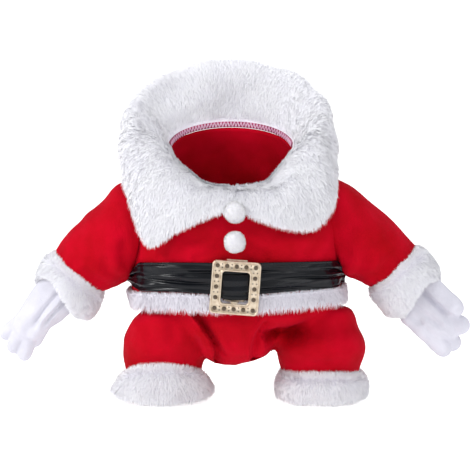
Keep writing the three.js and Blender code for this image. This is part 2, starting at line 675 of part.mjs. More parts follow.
function roundedRectangle(target, width, height, corner) {
  const x = width / 2;
  const y = height / 2;
  target.moveTo(-x + corner, -y);
  target.lineTo(x - corner, -y);
  target.quadraticCurveTo(x, -y, x, -y + corner);
  target.lineTo(x, y - corner);
  target.quadraticCurveTo(x, y, x - corner, y);
  target.lineTo(-x + corner, y);
  target.quadraticCurveTo(-x, y, -x, y - corner);
  target.lineTo(-x, -y + corner);
  target.quadraticCurveTo(-x, -y, -x + corner, -y);
  return target;
}

// The buckle's back face clears the belt and the hem trim. Its bar runs behind the belt.
const beltFront = frontAt(116) - BELT_AT_BUCKLE.rise - LEATHERETTE - 0.9;
const buckleBack = Math.min(beltFront, frontAt(94) - PLUSH_TRIM) - 2 * SEAM_GAP;
const barBack = frontAt(133) - SEAM_GAP;

function bucklePlate() {
  const outline = roundedRectangle(new THREE.Shape(), BUCKLE.width, BUCKLE.height, BUCKLE.corner);
  outline.holes.push(roundedRectangle(new THREE.Path(), BUCKLE.windowWidth, BUCKLE.windowHeight, 3));
  const options = { depth: BUCKLE.thickness, bevelEnabled: false, curveSegments: 3 };
  const plate = new THREE.ExtrudeGeometry(outline, options);
  plate.rotateX(Math.PI / 2);
  plate.translate(0, buckleBack, 0);
  return solid(plate);
}

// The bar behind the belt, with a post to the plate above the belt and another below it.
function buckleBar(grow) {
  const half = BUCKLE.barWidth / 2 + grow;
  const post = BUCKLE.postWidth / 2 + grow;
  const low = BELT[2].height - BELT_AT_BUCKLE.dip - 3 * SEAM_GAP - BUCKLE.z;
  const high = BELT[0].height + 3 * SEAM_GAP - BUCKLE.z;
  const top = BUCKLE.height / 2 + BUCKLE.barShows;
  const foot = low - 5;
  const front = barBack - BUCKLE.barThickness;
  return [
    box([-half, front - grow, foot - grow], [half, barBack + grow, top + grow]),
    box([-post, buckleBack - 0.5, high - grow], [post, barBack + grow, top - BUCKLE.barShows - 0.3]),
    box([-post, buckleBack - 0.5, foot - grow], [post, barBack + grow, low + grow]),
  ];
}

const group = new THREE.Group();

function addPiece(name, geometry, material) {
  const mesh = new THREE.Mesh(geometry, material);
  mesh.name = name;
  group.add(mesh);
}

function finish(color, roughness, metalness = 0) {
  return new THREE.MeshStandardMaterial({ color, roughness, metalness });
}

const redVelour = finish(0xc20a1e, 0.85);
const whitePlush = finish(0xf2f1f6, 0.95);
const whiteFleece = finish(0xefeff4, 0.9);
const blackLeatherette = finish(0x15161a, 0.3);
const paleGold = finish(0xe6d3a8, 0.3, 0.9);

// Clearance forms that the pieces lying against them are cut with.
const jacketCutter = jacketForm(1.5 * SEAM_GAP);
const beltCutter = solid(
  band(
    BELT.map((row) => ({
      height: 116 + (row.height - 116) * 1.03,
      out: row.out + (row.out > 1 ? SEAM_GAP : 0),
      dips: row.dips,
    })),
    beltPoint,
    STEPS.ring,
  ),
);

function addJacket() {
  for (const [side, sign] of [["left", -1], ["right", 1]]) {
    addPiece(`jacket_front_${side}`, jacketPanel(-1, sign), redVelour);
    addPiece(`jacket_back_${side}`, jacketPanel(1, sign), redVelour);
  }
}

function addArm(side) {
  const sleeve = solid(tubeWall(armRings(SLEEVES[side], STEPS.sleeve, 2), VELOUR));
  addPiece(`sleeve_${side}`, geometryOf(sleeve.subtract(jacketCutter).subtract(beltCutter)), redVelour);

  const cuffRings = armRings(ARM_CUFFS[side], STEPS.sleeve);
  const sleeveCutter = sleeveForm(side, SEAM_GAP);
  const cuff = solid(tubeWall(cuffRings, PLUSH_TRIM)).subtract(sleeveCutter);
  addPiece(`arm_cuff_${side}`, geometryOf(cuff), whitePlush);

  const cuffCutter = solid(tubeWall(grownRings(cuffRings, SEAM_GAP), PLUSH_TRIM + 2 * SEAM_GAP));
  const past = cuffCutter.translate([side === "left" ? -SEAM_GAP : SEAM_GAP, 0, -2 * SEAM_GAP]);
  const glove = unionOf(GLOVES[side].map(lobe)).subtract(cuffCutter.add(past)).subtract(sleeveCutter);
  addPiece(`glove_${side}`, geometryOf(glove), whiteFleece);
}

function addTrousers() {
  for (const side of ["left", "right"]) {
    addPiece(`trouser_front_${side}`, geometryOf(trouserFront(side)), redVelour);
    addPiece(`leg_back_${side}`, geometryOf(legBack(side)), redVelour);
    const rings = stackedRings(LEG_CUFFS[side], STEPS.leg, 0, heightsOf(LEG_CUFFS[side]), LEG_SQUARE);
    addPiece(`leg_cuff_${side}`, tubeWall(rings, PLUSH_TRIM), whitePlush);
  }
}

function addBelt() {
  const onBuckle = (parts) =>
    unionOf(parts).rotate([0, THREE.MathUtils.radToDeg(BUCKLE.turn), 0]).translate([BUCKLE.x, 0, BUCKLE.z]);
  const trim = solid(band(HEM_TRIM, trimPoint, STEPS.ring));
  addPiece("belt", band(BELT, beltPoint, STEPS.ring), blackLeatherette);
  addPiece("hem_trim", geometryOf(trim.subtract(onBuckle(buckleBar(SEAM_GAP)))), whitePlush);
  addPiece("buckle", geometryOf(onBuckle([bucklePlate(), ...buckleBar(0)])), paleGold);
}

function pompom(height, radius) {
  const ball = new THREE.IcosahedronGeometry(radius, 3);
  ball.translate(-1, frontAt(height) - SEAM_GAP - POMPOM_RADIUS, height);
  return ball;
}

function addCollarAndPompoms() {
  addPiece("pompom_upper", pompom(POMPOM_HEIGHTS.upper, POMPOM_RADIUS), whitePlush);
  addPiece("pompom_lower", pompom(POMPOM_HEIGHTS.lower, POMPOM_RADIUS), whitePlush);
  const upperPompom = solid(pompom(POMPOM_HEIGHTS.upper, POMPOM_RADIUS + SEAM_GAP));
  for (const side of ["left", "right"]) {
    const collar = collarWall(side)
      .subtract(jacketCutter)
      .subtract(sleeveForm(side, SEAM_GAP))
      .subtract(upperPompom);
    addPiece(`collar_${side}`, geometryOf(collar), whitePlush);
  }
}

addJacket();
addArm("left");
addArm("right");
addTrousers();
addBelt();
addCollarAndPompoms();

// The part's origin is the middle of the neck seam, where the dog's neck and shoulders carry the suit.
group.position.set(-jacketColumns.shift(NECK_HEIGHT), 0, -NECK_HEIGHT);
group.updateMatrixWorld(true);

export default group;
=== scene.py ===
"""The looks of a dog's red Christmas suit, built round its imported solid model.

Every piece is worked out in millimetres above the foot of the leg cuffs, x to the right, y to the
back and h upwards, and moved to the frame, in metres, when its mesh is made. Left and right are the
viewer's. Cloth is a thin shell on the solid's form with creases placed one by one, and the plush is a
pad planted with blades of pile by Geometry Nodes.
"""

import json
import logging
import math
from collections.abc import Callable, Sequence
from dataclasses import dataclass
from enum import Enum

import bmesh
import bpy
import numpy as np
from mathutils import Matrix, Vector
from mathutils.bvhtree import BVHTree

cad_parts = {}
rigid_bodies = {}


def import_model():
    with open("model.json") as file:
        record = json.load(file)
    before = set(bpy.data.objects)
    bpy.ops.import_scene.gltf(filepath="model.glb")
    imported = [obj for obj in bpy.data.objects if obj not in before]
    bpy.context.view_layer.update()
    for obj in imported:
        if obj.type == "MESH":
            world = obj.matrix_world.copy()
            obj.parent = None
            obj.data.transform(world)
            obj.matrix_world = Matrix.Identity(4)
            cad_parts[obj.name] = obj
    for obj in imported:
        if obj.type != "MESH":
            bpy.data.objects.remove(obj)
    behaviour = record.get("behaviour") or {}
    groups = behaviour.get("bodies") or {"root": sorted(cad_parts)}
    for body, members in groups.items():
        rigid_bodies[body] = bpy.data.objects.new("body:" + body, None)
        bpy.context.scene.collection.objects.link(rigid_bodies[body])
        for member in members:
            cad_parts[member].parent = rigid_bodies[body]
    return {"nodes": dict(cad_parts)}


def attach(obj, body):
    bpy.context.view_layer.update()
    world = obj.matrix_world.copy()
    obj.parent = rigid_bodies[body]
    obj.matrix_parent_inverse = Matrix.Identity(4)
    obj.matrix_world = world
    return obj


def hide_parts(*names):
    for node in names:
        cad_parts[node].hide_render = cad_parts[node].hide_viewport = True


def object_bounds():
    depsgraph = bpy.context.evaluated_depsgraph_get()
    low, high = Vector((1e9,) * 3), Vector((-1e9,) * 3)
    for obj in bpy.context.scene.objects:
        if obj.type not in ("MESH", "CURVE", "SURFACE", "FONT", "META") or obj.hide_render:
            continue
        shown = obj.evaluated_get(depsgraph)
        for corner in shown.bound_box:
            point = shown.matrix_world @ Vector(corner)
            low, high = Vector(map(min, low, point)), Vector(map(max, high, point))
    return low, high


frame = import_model()
CAD_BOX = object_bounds()
log = logging.getLogger("suit")

MM = 0.001
# The frame's origin is the middle of the neck seam, this far right of the drawing's middle line.
NECK_SHIFT = 4.3
NECK_HEIGHT = -CAD_BOX[0][2] / MM
FRAME_SHIFT = np.array([NECK_SHIFT, 0.0, -NECK_HEIGHT])
SEAM_GAP = 0.3
SIDE_SEAM_DEPTH = -2.0
WAIST_HEIGHT = 97.0
ANKLE_HEIGHTS = {"left": 28.0, "right": 29.0}
LEG_SQUARE = 2.2
# Weights that smooth a line of values, each with its four neighbours.
SMOOTHING = np.array([1, 2, 3, 2, 1]) / 9

Grid = np.ndarray
Path = tuple[tuple[float, float], ...]
Form = tuple[np.ndarray, np.ndarray]
Colour = tuple[float, float, float, float]
Feeds = dict[str | int, object]


class Slot(Enum):
    """The record's material slots."""

    VELOUR = "red_velour"
    PLUSH = "white_plush"
    FLEECE = "white_fleece"
    LEATHERETTE = "black_leatherette"
    GOLD = "pale_gold"


class Facing(Enum):
    """The side of a piece that a crease lies on."""

    FRONT = -1
    BACK = 1


def screen_colour(red: float, green: float, blue: float) -> Colour:
    """Turns a colour in screen values of 0 to 255 into the linear colour that shaders take."""
    values = [v / 255 for v in (red, green, blue)]
    linear = [v / 12.92 if v <= 0.04045 else ((v + 0.055) / 1.055) ** 2.4 for v in values]
    return (*linear, 1.0)


class Profile:
    """Smooth curves through the named columns of a table, against its first column."""

    def __init__(self, names: str, rows: Sequence[Sequence[float]]) -> None:
        """Keeps the table.

        Args:
            names: The columns' names, with spaces between them. The first is what they are read by.
            rows: One tuple of numbers for each section, in rising order of the first column.
        """
        self.names = names.split()
        self.table = np.array(rows, float)
        self.first = float(self.table[0, 0])
        self.last = float(self.table[-1, 0])

    def at(self, name: str, t: np.ndarray | float) -> np.ndarray:
        """Reads one column.

        Args:
            name: The column's name.
            t: Values of the first column.

        Returns:
            The column's values there, held level past both ends.
        """
        t = np.asarray(t, float)
        by = self.table[:, 0]
        value = self.table[:, self.names.index(name)]
        last = len(by) - 1
        before = np.maximum(np.arange(last + 1) - 1, 0)
        after = np.minimum(np.arange(last + 1) + 1, last)
        slope = (value[after] - value[before]) / (by[after] - by[before])
        i = np.clip(np.searchsorted(by, t, side="left") - 1, 0, last - 1)
        span = by[i + 1] - by[i]
        s = np.clip((t - by[i]) / span, 0, 1)
        return (
            value[i] * (2 * s**3 - 3 * s**2 + 1)
            + slope[i] * span * (s**3 - 2 * s**2 + s)
            + value[i + 1] * (3 * s**2 - 2 * s**3)
            + slope[i + 1] * span * (s**3 - s**2)
        )


def smooth_step(value: np.ndarray | float) -> np.ndarray:
    """Eases a value from 0 to 1."""
    v = np.clip(value, 0, 1)
    return v * v * (3 - 2 * v)


def signed_power(value: np.ndarray, power: np.ndarray | float) -> np.ndarray:
    """Raises a value's size to a power and keeps its sign."""
    return np.sign(value) * np.abs(value) ** power


def bell(distance: np.ndarray, reach: np.ndarray | float, power: int = 2) -> np.ndarray:
    """Gives 1 at no distance, which falls away round and is near 0 past the reach."""
    return np.exp(-((distance / reach) ** power))


def unit(vectors: np.ndarray) -> np.ndarray:
    """Gives vectors a length of 1."""
    return vectors / np.maximum(np.linalg.norm(vectors, axis=-1, keepdims=True), 1e-9)


def once_round(count: int) -> np.ndarray:
    """Gives even angles for one turn, without its end."""
    return np.linspace(0, 2 * math.pi, count, endpoint=False)


def to_frame(points: np.ndarray) -> np.ndarray:
    """Moves points in the drawing's millimetres to the frame, in metres."""
    return (points.reshape(-1, 3) + FRAME_SHIFT) * MM


def grid_normals(grid: Grid, ring: bool = False) -> Grid:
    """Gives the unit normals of a grid of points, whose columns may close into rings."""
    across = np.roll(grid, -1, 1) - np.roll(grid, 1, 1) if ring else np.gradient(grid, axis=1)
    return unit(np.cross(across, np.gradient(grid, axis=0)))


def ring_normals(grid: Grid) -> Grid:
    """Gives the normals of stacked closed rings, turned away from each ring's middle."""
    normal = grid_normals(grid, ring=True)
    outward_way = grid - grid.mean(axis=1, keepdims=True)
    return normal if (outward_way * normal).sum() > 0 else -normal


def grid_faces(rows: int, columns: int, closed_rows: bool, closed_columns: bool) -> np.ndarray:
    """Lists the quads of a grid of points."""
    j = np.arange(rows if closed_rows else rows - 1)
    i = np.arange(columns if closed_columns else columns - 1)
    jj, ii = np.meshgrid(j, i, indexing="ij")
    j2, i2 = (jj + 1) % rows, (ii + 1) % columns
    quads = [jj * columns + ii, jj * columns + i2, j2 * columns + i2, j2 * columns + ii]
    return np.stack(quads, axis=-1).reshape(-1, 4)


def signed_volume(points: np.ndarray, faces: np.ndarray) -> float:
    """Gives a closed mesh's volume, negative when it is inside out."""
    a = points[faces[:, 0]]
    total = 0.0
    for k in range(1, faces.shape[1] - 1):
        total += float((a * np.cross(points[faces[:, k]], points[faces[:, k + 1]])).sum()) / 6
    return total


def outward(points: np.ndarray, faces: np.ndarray) -> np.ndarray:
    """Turns a closed form's faces outwards."""
    return faces if signed_volume(points - points.mean(axis=0), faces) > 0 else faces[:, ::-1]


def placed_object(name: str, data: bpy.types.ID) -> bpy.types.Object:
    """Puts a new object with its data in the scene."""
    obj = bpy.data.objects.new(name, data)
    bpy.context.scene.collection.objects.link(obj)
    return obj


def make_mesh(name: str, points: np.ndarray, faces: np.ndarray, closed: bool = True) -> bpy.types.Object:
    """Makes a smooth-shaded object from points in the drawing's millimetres.

    Args:
        name: The object's name.
        points: The points.
        faces: Quads or triangles of point numbers.
        closed: Whether the mesh is a closed skin, which is then turned to face outwards.

    Returns:
        The object, at the origin, with its place in its mesh.
    """
    placed = to_frame(points)
    mesh = bpy.data.meshes.new(name)
    mesh.from_pydata(placed.tolist(), [], (outward(placed, faces) if closed else faces).tolist())
    mesh.polygons.foreach_set("use_smooth", np.ones(len(mesh.polygons), bool))
    mesh.update()
    return placed_object(name, mesh)


def make_shell(name: str, outer: Grid, inner: Grid, ring: bool) -> bpy.types.Object:
    """Makes a closed cloth wall between two grids that match.

    Args:
        name: The object's name.
        outer: The outer face's points.
        inner: The inner face's points.
        ring: Whether the columns close into rings.

    Returns:
        The wall's object.
    """
    rows, columns = outer.shape[:2]
    side = rows * columns
    face = grid_faces(rows, columns, False, ring)
    quads = [face, face[:, ::-1] + side]
    spans = np.arange(columns if ring else columns - 1)
    after = (spans + 1) % columns
    top = (rows - 1) * columns
    quads.append(np.stack([after, spans, spans + side, after + side], axis=-1))
    quads.append(np.stack([top + spans, top + after, side + top + after, side + top + spans], axis=-1))
    if not ring:
        a = np.arange(rows - 1) * columns
        b = a + columns - 1
        quads.append(np.stack([a, a + columns, side + a + columns, side + a], axis=-1))
        quads.append(np.stack([b + columns, b, side + b, side + b + columns], axis=-1))
    points = np.concatenate([outer.reshape(-1, 3), inner.reshape(-1, 3)])
    return make_mesh(name, points, np.concatenate(quads))


def capped(grid: Grid) -> Form:
    """Closes stacked rings with a hub at each end, and gives the form's points and quads."""
    rows, count = grid.shape[:2]
    points = np.concatenate([grid.reshape(-1, 3), grid[0].mean(axis=0)[None], grid[-1].mean(axis=0)[None]])
    i = np.arange(count)
    last, hub = (rows - 1) * count, rows * count
    low = np.stack([i, 0 * i + hub, 0 * i + hub, (i + 1) % count], axis=-1)
    high = np.stack([last + (i + 1) % count, 0 * i + hub + 1, 0 * i + hub + 1, last + i], axis=-1)
    faces = np.concatenate([grid_faces(rows, count, False, True), low, high])
    return points, outward(points, faces)


def joined(parts: Sequence[Form]) -> Form:
    """Puts the points and the faces of several forms into one array each."""
    firsts = np.cumsum([0] + [len(points) for points, _ in parts])
    faces = [quads + first for (_, quads), first in zip(parts, firsts)]
    return np.concatenate([points for points, _ in parts]), np.concatenate(faces)


def make_band(name: str, grid: Grid) -> bpy.types.Object:
    """Makes a closed ring of cloth from a grid that closes both ways."""
    rows, columns = grid.shape[:2]
    return make_mesh(name, grid.reshape(-1, 3), grid_faces(rows, columns, True, True))


def mesh_points(obj: bpy.types.Object) -> np.ndarray:
    """Reads an object's points back in the drawing's millimetres."""
    flat = np.empty(len(obj.data.vertices) * 3)
    obj.data.vertices.foreach_get("co", flat)
    return flat.reshape(-1, 3) / MM - FRAME_SHIFT


def move_points(obj: bpy.types.Object, points: np.ndarray) -> None:
    """Writes an object's points from the drawing's millimetres."""
    obj.data.vertices.foreach_set("co", to_frame(points).ravel())
    obj.data.update()


def mesh_normals(obj: bpy.types.Object) -> np.ndarray:
    """Reads an object's point normals."""
    flat = np.empty(len(obj.data.vertices) * 3)
    obj.data.vertex_normals.foreach_get("vector", flat)
    return flat.reshape(-1, 3)


def undulation(points: np.ndarray, wavelength: float, seed: int) -> np.ndarray:
    """Gives a soft uneven field of about -1 to 1 over the points, a sum of plane waves.

    Args:
        points: Points in millimetres.
        wavelength: The usual distance between its humps.
        seed: Fixes its directions and phases.

    Returns:
        One value for each point.
    """
    waves = 7
    rng = np.random.default_rng(seed)
    direction = rng.normal(size=(waves, 3))
    direction /= np.linalg.norm(direction, axis=1, keepdims=True)
    number = 2 * math.pi / (wavelength * rng.uniform(0.7, 1.5, waves))
    phase = rng.uniform(0, 2 * math.pi, waves)
    field_value = np.sin((points @ direction.T) * number + phase).sum(axis=-1)
    return field_value / math.sqrt(waves)


@dataclass(frozen=True)
class Crease:
    """A soft trough in cloth, with a raised lip beside it. A negative depth makes it a ridge.

    Where it falls, the cloth lies lower all along the right side of a path drawn downwards.
    """

    path: Path
    depth: float
    width: float
    facing: Facing = Facing.FRONT
    lip: float = 0.35
    bias: float = 0.0
    fade_in: float = 0.3
    fade_out: float = 0.3
    falls: bool = False

    def offsets(self, points: np.ndarray) -> np.ndarray:
        """Gives how far each point moves along its normal.

        Args:
            points: The piece's outer points, of shape (count, 3).

        Returns:
            One distance in millimetres for each point.
        """
        line = self._route()
        own_side = (points[:, 1] - SIDE_SEAM_DEPTH) * self.facing.value > 0
        if not own_side.any():
            return np.zeros(len(points))
        near = points[own_side]
        flat = (near[:, None, 0] - line[None, :, 0]) ** 2 + (near[:, None, 2] - line[None, :, 1]) ** 2
        depth_at = near[flat.argmin(axis=0), 1]
        route = np.stack([line[:, 0], depth_at, line[:, 1]], axis=-1)
        gap = ((points[:, None, :] - route[None, :, :]) ** 2).sum(axis=-1)
        nearest = gap.argmin(axis=1)
        distance = np.sqrt(gap[np.arange(len(points)), nearest])
        share = nearest / (len(line) - 1)
        along = unit(np.gradient(line, axis=0))
        away = points[:, [0, 2]] - line[nearest]
        beside = along[nearest, 0] * away[:, 1] - along[nearest, 1] * away[:, 0]
        if self.falls:
            fallen = 0.5 + 0.5 * np.tanh(beside / (0.4 * self.width))
            trough = -fallen * bell(distance, 3 * self.width)
            lip = self.lip * (1 - fallen) * bell(distance, 1.6 * self.width)
        else:
            trough = -bell(distance, self.width)
            lean = 1 + self.bias * np.tanh(beside / (0.5 * self.width))
            lip = self.lip * lean * bell(distance - 1.8 * self.width, self.width)
        fade = smooth_step(share / self.fade_in) * smooth_step((1 - share) / self.fade_out)
        return self.depth * fade * (trough + lip) * (distance < 8 * self.width)

    def _route(self) -> np.ndarray:
        """Gives the path as a dense line of x and h."""
        corners = np.array(self.path, float)
        steps = np.r_[0, np.cumsum(np.linalg.norm(np.diff(corners, axis=0), axis=1))]
        apart, fewest = 2.0, 6
        t = np.linspace(0, steps[-1], max(int(steps[-1] / apart), fewest))
        line = np.stack([np.interp(t, steps, corners[:, k]) for k in (0, 1)], axis=-1)
        for _ in range(2):
            padded = np.pad(line, ((2, 2), (0, 0)), mode="edge")
            inner = [np.convolve(padded[:, k], SMOOTHING, mode="valid") for k in (0, 1)]
            line[1:-1] = np.stack(inner, axis=-1)[1:-1]
        return line


def creased(grid: Grid, normals: Grid, creases: Sequence[Crease]) -> Grid:
    """Moves a grid's points by all of a piece's creases."""
    flat = grid.reshape(-1, 3)
    offset = sum((c.offsets(flat) for c in creases), np.zeros(len(flat)))
    return grid + normals * offset.reshape(grid.shape[:2])[..., None]


def feed(tree: bpy.types.NodeTree, target: bpy.types.NodeSocket, value: object) -> None:
    """Links another node's socket to an input, or sets a fixed value on it."""
    if isinstance(value, bpy.types.NodeSocket):
        tree.links.new(value, target)
    else:
        target.default_value = value


def add(tree: bpy.types.NodeTree, kind: str, feeds: Feeds | None = None,
        **settings: object) -> bpy.types.Node:
    """Adds a node.

    Args:
        tree: The tree that gets it.
        kind: Blender's name for it.
        feeds: What its inputs get, by name or number: another node's socket or a fixed value.
        settings: Its properties, which are set first.

    Returns:
        The node.
    """
    node = tree.nodes.new(kind)
    for key, value in settings.items():
        setattr(node, key, value)
    for key, value in (feeds or {}).items():
        feed(tree, node.inputs[key], value)
    return node


def noise(tree: bpy.types.NodeTree, scale: object, detail: float,
          roughness: float = 0.5) -> bpy.types.NodeSocket:
    """Adds noise over a piece's own coordinates and returns its value."""
    where = tree.nodes.new("ShaderNodeTexCoord").outputs["Object"]
    return add(tree, "ShaderNodeTexNoise",
               {"Vector": where, "Scale": scale, "Detail": detail, "Roughness": roughness}).outputs[0]


def ranged(tree: bpy.types.NodeTree, value: bpy.types.NodeSocket, start: float = 0.0, end: float = 1.0,
           low: float = 0.0, high: float = 1.0) -> bpy.types.NodeSocket:
    """Maps a value from one range to another, level past its ends."""
    feeds = {"Value": value, "From Min": start, "From Max": end, "To Min": low, "To Max": high}
    return add(tree, "ShaderNodeMapRange", feeds).outputs["Result"]


def mixed(tree: bpy.types.NodeTree, share: bpy.types.NodeSocket, low: Colour,
          high: Colour) -> bpy.types.NodeSocket:
    """Mixes two fixed colours by a value."""
    return add(tree, "ShaderNodeMix", {0: share, 6: low, 7: high}, data_type="RGBA").outputs[2]


def bumped(tree: bpy.types.NodeTree, height: bpy.types.NodeSocket, strength: float,
           relief: float) -> bpy.types.NodeSocket:
    """Turns a height from 0 to 1 into a normal, with its relief in millimetres."""
    feeds = {"Height": height, "Strength": strength, "Distance": relief * MM}
    return add(tree, "ShaderNodeBump", feeds).outputs["Normal"]


def nap(tree: bpy.types.NodeTree, patch_scale: float, nap_scale: float) -> bpy.types.bpy_prop_collection:
    """Places the node group that all cloth shares, a broad tone and a fine relief, with its own scales.

    Returns:
        The group's outputs Tone and Relief, each from 0 to 1.
    """
    name = "cloth nap"
    group = bpy.data.node_groups.get(name)
    if group is None:
        group = bpy.data.node_groups.new(name, "ShaderNodeTree")
        for way, titles in (("INPUT", ("Patch Scale", "Nap Scale")), ("OUTPUT", ("Tone", "Relief"))):
            for title in titles:
                group.interface.new_socket(title, in_out=way, socket_type="NodeSocketFloat")
        given = group.nodes.new("NodeGroupInput").outputs
        add(group, "NodeGroupOutput", {
            "Tone": ranged(group, noise(group, given["Patch Scale"], 3.0, 0.55), 0.3, 0.7),
            "Relief": ranged(group, noise(group, given["Nap Scale"], 2.0, 0.6), 0.3, 0.7)})
    feeds = {"Patch Scale": patch_scale, "Nap Scale": nap_scale}
    return add(tree, "ShaderNodeGroup", feeds, node_tree=group).outputs


@dataclass(frozen=True)
class Finish:
    """What pieces are made of, with the two tones that its pattern mixes."""

    name: str
    low: Colour
    high: Colour

    def feeds(self, tree: bpy.types.NodeTree) -> Feeds:
        """Adds the finish's nodes and returns what the shader's inputs get."""
        raise NotImplementedError

    def material(self) -> bpy.types.Material:
        """Builds the material, or returns it if it is there already."""
        if self.name in bpy.data.materials:
            return bpy.data.materials[self.name]
        material = bpy.data.materials.new(self.name)
        material.use_nodes = True
        tree = material.node_tree
        shader = next(node for node in tree.nodes if node.type == "BSDF_PRINCIPLED")
        for title, value in self.feeds(tree).items():
            feed(tree, shader.inputs[title], value)
        return material


@dataclass(frozen=True)
class ClothFinish(Finish):
    """A napped cloth: two tones that wander over the piece, fine relief and a sheen."""

    sheen: float = 0.2
    sheen_tint: Colour = (1.0, 1.0, 1.0, 1.0)
    patch_scale: float = 40.0
    nap_scale: float = 900.0
    relief: float = 0.4

    def feeds(self, tree: bpy.types.NodeTree) -> Feeds:
        """Adds the cloth's nodes."""
        cloth = nap(tree, self.patch_scale, self.nap_scale)
        return {"Base Color": mixed(tree, cloth["Tone"], self.low, self.high),
                "Normal": bumped(tree, cloth["Relief"], self.relief, 0.6),
                "Roughness": 0.85, "Specular IOR Level": 0.08, "Sheen Weight": self.sheen,
                "Sheen Roughness": 0.45, "Sheen Tint": self.sheen_tint}


@dataclass(frozen=True)
class PileFinish(Finish):
    """Plush pile: roots painted darker than tips as painted shade deep in the pile, and a little random tone.

    The blades take a share of their light, the softness, as the skin under them does, which makes the
    pile look deep.
    """

    softness: float = 0.45

    def feeds(self, tree: bpy.types.NodeTree) -> Feeds:
        """Adds the pile's nodes."""
        strand = add(tree, "ShaderNodeAttribute", attribute_name="strand").outputs["Fac"]
        skin = add(tree, "ShaderNodeAttribute", attribute_name="skin").outputs["Vector"]
        own = tree.nodes.new("ShaderNodeNewGeometry").outputs["Normal"]
        # Painted shade: each blade's root gets the low tone and its tip the high one, with a little random
        # tone mixed in.
        tone_and_root_shade = add(tree, "ShaderNodeMath", {0: nap(tree, 60.0, 600.0)["Tone"], 1: 0.35, 2: strand},
                    operation="MULTIPLY_ADD", use_clamp=True).outputs[0]
        soft = add(tree, "ShaderNodeMix", {0: self.softness, 4: own, 5: skin}, data_type="VECTOR").outputs[1]
        normal = add(tree, "ShaderNodeVectorMath", {0: soft}, operation="NORMALIZE").outputs["Vector"]
        return {"Base Color": mixed(tree, tone_and_root_shade, self.low, self.high), "Normal": normal, "Roughness": 0.8,
                "Specular IOR Level": 0.2, "Sheen Weight": 0.25, "Sheen Roughness": 0.4}


@dataclass(frozen=True)
class LeatheretteFinish(Finish):
    """Glossy coated cloth with a fine grain and smudges in its gloss."""

    dull: float = 0.34
    bright: float = 0.18

    def feeds(self, tree: bpy.types.NodeTree) -> Feeds:
        """Adds the leatherette's nodes."""
        smudge = noise(tree, 70.0, 4.0)
        where = tree.nodes.new("ShaderNodeTexCoord").outputs["Object"]
        grain = add(tree, "ShaderNodeTexVoronoi", {"Vector": where, "Scale": 1400.0}).outputs["Distance"]
        return {"Base Color": mixed(tree, smudge, self.low, self.high),
                "Roughness": ranged(tree, smudge, low=self.bright, high=self.dull),
                "Normal": bumped(tree, grain, 0.12, 0.1), "Specular IOR Level": 0.27}


@dataclass(frozen=True)
class MetalFinish(Finish):
    """Plated metal, duller and darker where its fine scuffs lie."""

    roughness: float = 0.3
    metallic: float = 0.85

    def feeds(self, tree: bpy.types.NodeTree) -> Feeds:
        """Adds the metal's nodes."""
        scuff = ranged(tree, noise(tree, 260.0, 5.0, 0.7), 0.4, 0.75)
        return {"Base Color": mixed(tree, scuff, self.low, self.high), "Metallic": self.metallic,
                "Roughness": ranged(tree, scuff, low=self.roughness, high=self.roughness + 0.2)}


@dataclass(frozen=True)
class StoneFinish(Finish):
    """Cut glass with a drifting amber depth."""

    def feeds(self, tree: bpy.types.NodeTree) -> Feeds:
        """Adds the stone's nodes."""
        return {"Base Color": mixed(tree, noise(tree, 420.0, 1.0), self.low, self.high),
                "Roughness": 0.08, "Coat Weight": 0.6}


@dataclass(frozen=True)
class FloorFinish(Finish):
    """A plain floor in its low colour that glows in its high one, more where the camera sees it itself."""

    def feeds(self, tree: bpy.types.NodeTree) -> Feeds:
        """Adds the floor's nodes."""
        seen = tree.nodes.new("ShaderNodeLightPath").outputs["Is Camera Ray"]
        glow = add(tree, "ShaderNodeMath", {0: seen, 1: 0.5, 2: 0.28}, operation="MULTIPLY_ADD").outputs[0]
        return {"Base Color": self.low, "Roughness": 0.9, "Specular IOR Level": 0.0,
                "Emission Color": self.high, "Emission Strength": glow}


RED_VELOUR = ClothFinish("red velour", screen_colour(166, 0, 14), screen_colour(198, 0, 32), 0.1,
                         screen_colour(255, 40, 110), 26.0, 1100.0, 0.25)
PLUSH_BACKING = ClothFinish("plush backing", screen_colour(234, 231, 242), screen_colour(247, 246, 252),
                            patch_scale=70.0, nap_scale=500.0, relief=0.6)
WHITE_FLEECE = ClothFinish("white fleece", screen_colour(212, 211, 222), screen_colour(226, 225, 235),
                           patch_scale=50.0, nap_scale=700.0, relief=0.35)
THREAD = ClothFinish("seam thread", screen_colour(226, 168, 200), screen_colour(240, 205, 226), 0.3,
                     nap_scale=2500.0)
# The allowance's own red, darkened and purpled as painted shade in the gaps between the stitches.
SHADED_SEAM_TAPE = ClothFinish("seam allowance", screen_colour(120, 14, 52), screen_colour(168, 40, 90),
                        nap_scale=1500.0, relief=0.5)
# Each pile's low tone is painted shade at its roots, and its high tone is the colour of its tips.
WHITE_PILE = PileFinish("white pile", screen_colour(244, 243, 252), screen_colour(252, 252, 255))
# The trim's roots are painted much darker: painted shade between its hairs.
TRIM_PILE = PileFinish("trim pile", screen_colour(216, 212, 223), screen_colour(245, 243, 250))
BALL_PILE = PileFinish("ball pile", screen_colour(252, 252, 255), screen_colour(255, 255, 255), 0.6)
BLACK_LEATHERETTE = LeatheretteFinish("black leatherette", screen_colour(4, 5, 9), screen_colour(14, 17, 24))
PALE_GOLD = MetalFinish("pale gold", screen_colour(230, 215, 194), screen_colour(194, 172, 142))
PIERCED = MetalFinish("pierced gold shade", screen_colour(60, 46, 32), screen_colour(40, 30, 22), 0.6, 0.3)
DARK_STONE = StoneFinish("dark amber stone", screen_colour(22, 13, 8), screen_colour(86, 62, 30))
PALE_FLOOR = FloorFinish("pale floor", (0.93, 0.93, 0.94, 1.0), (1.0, 1.0, 1.0, 1.0))


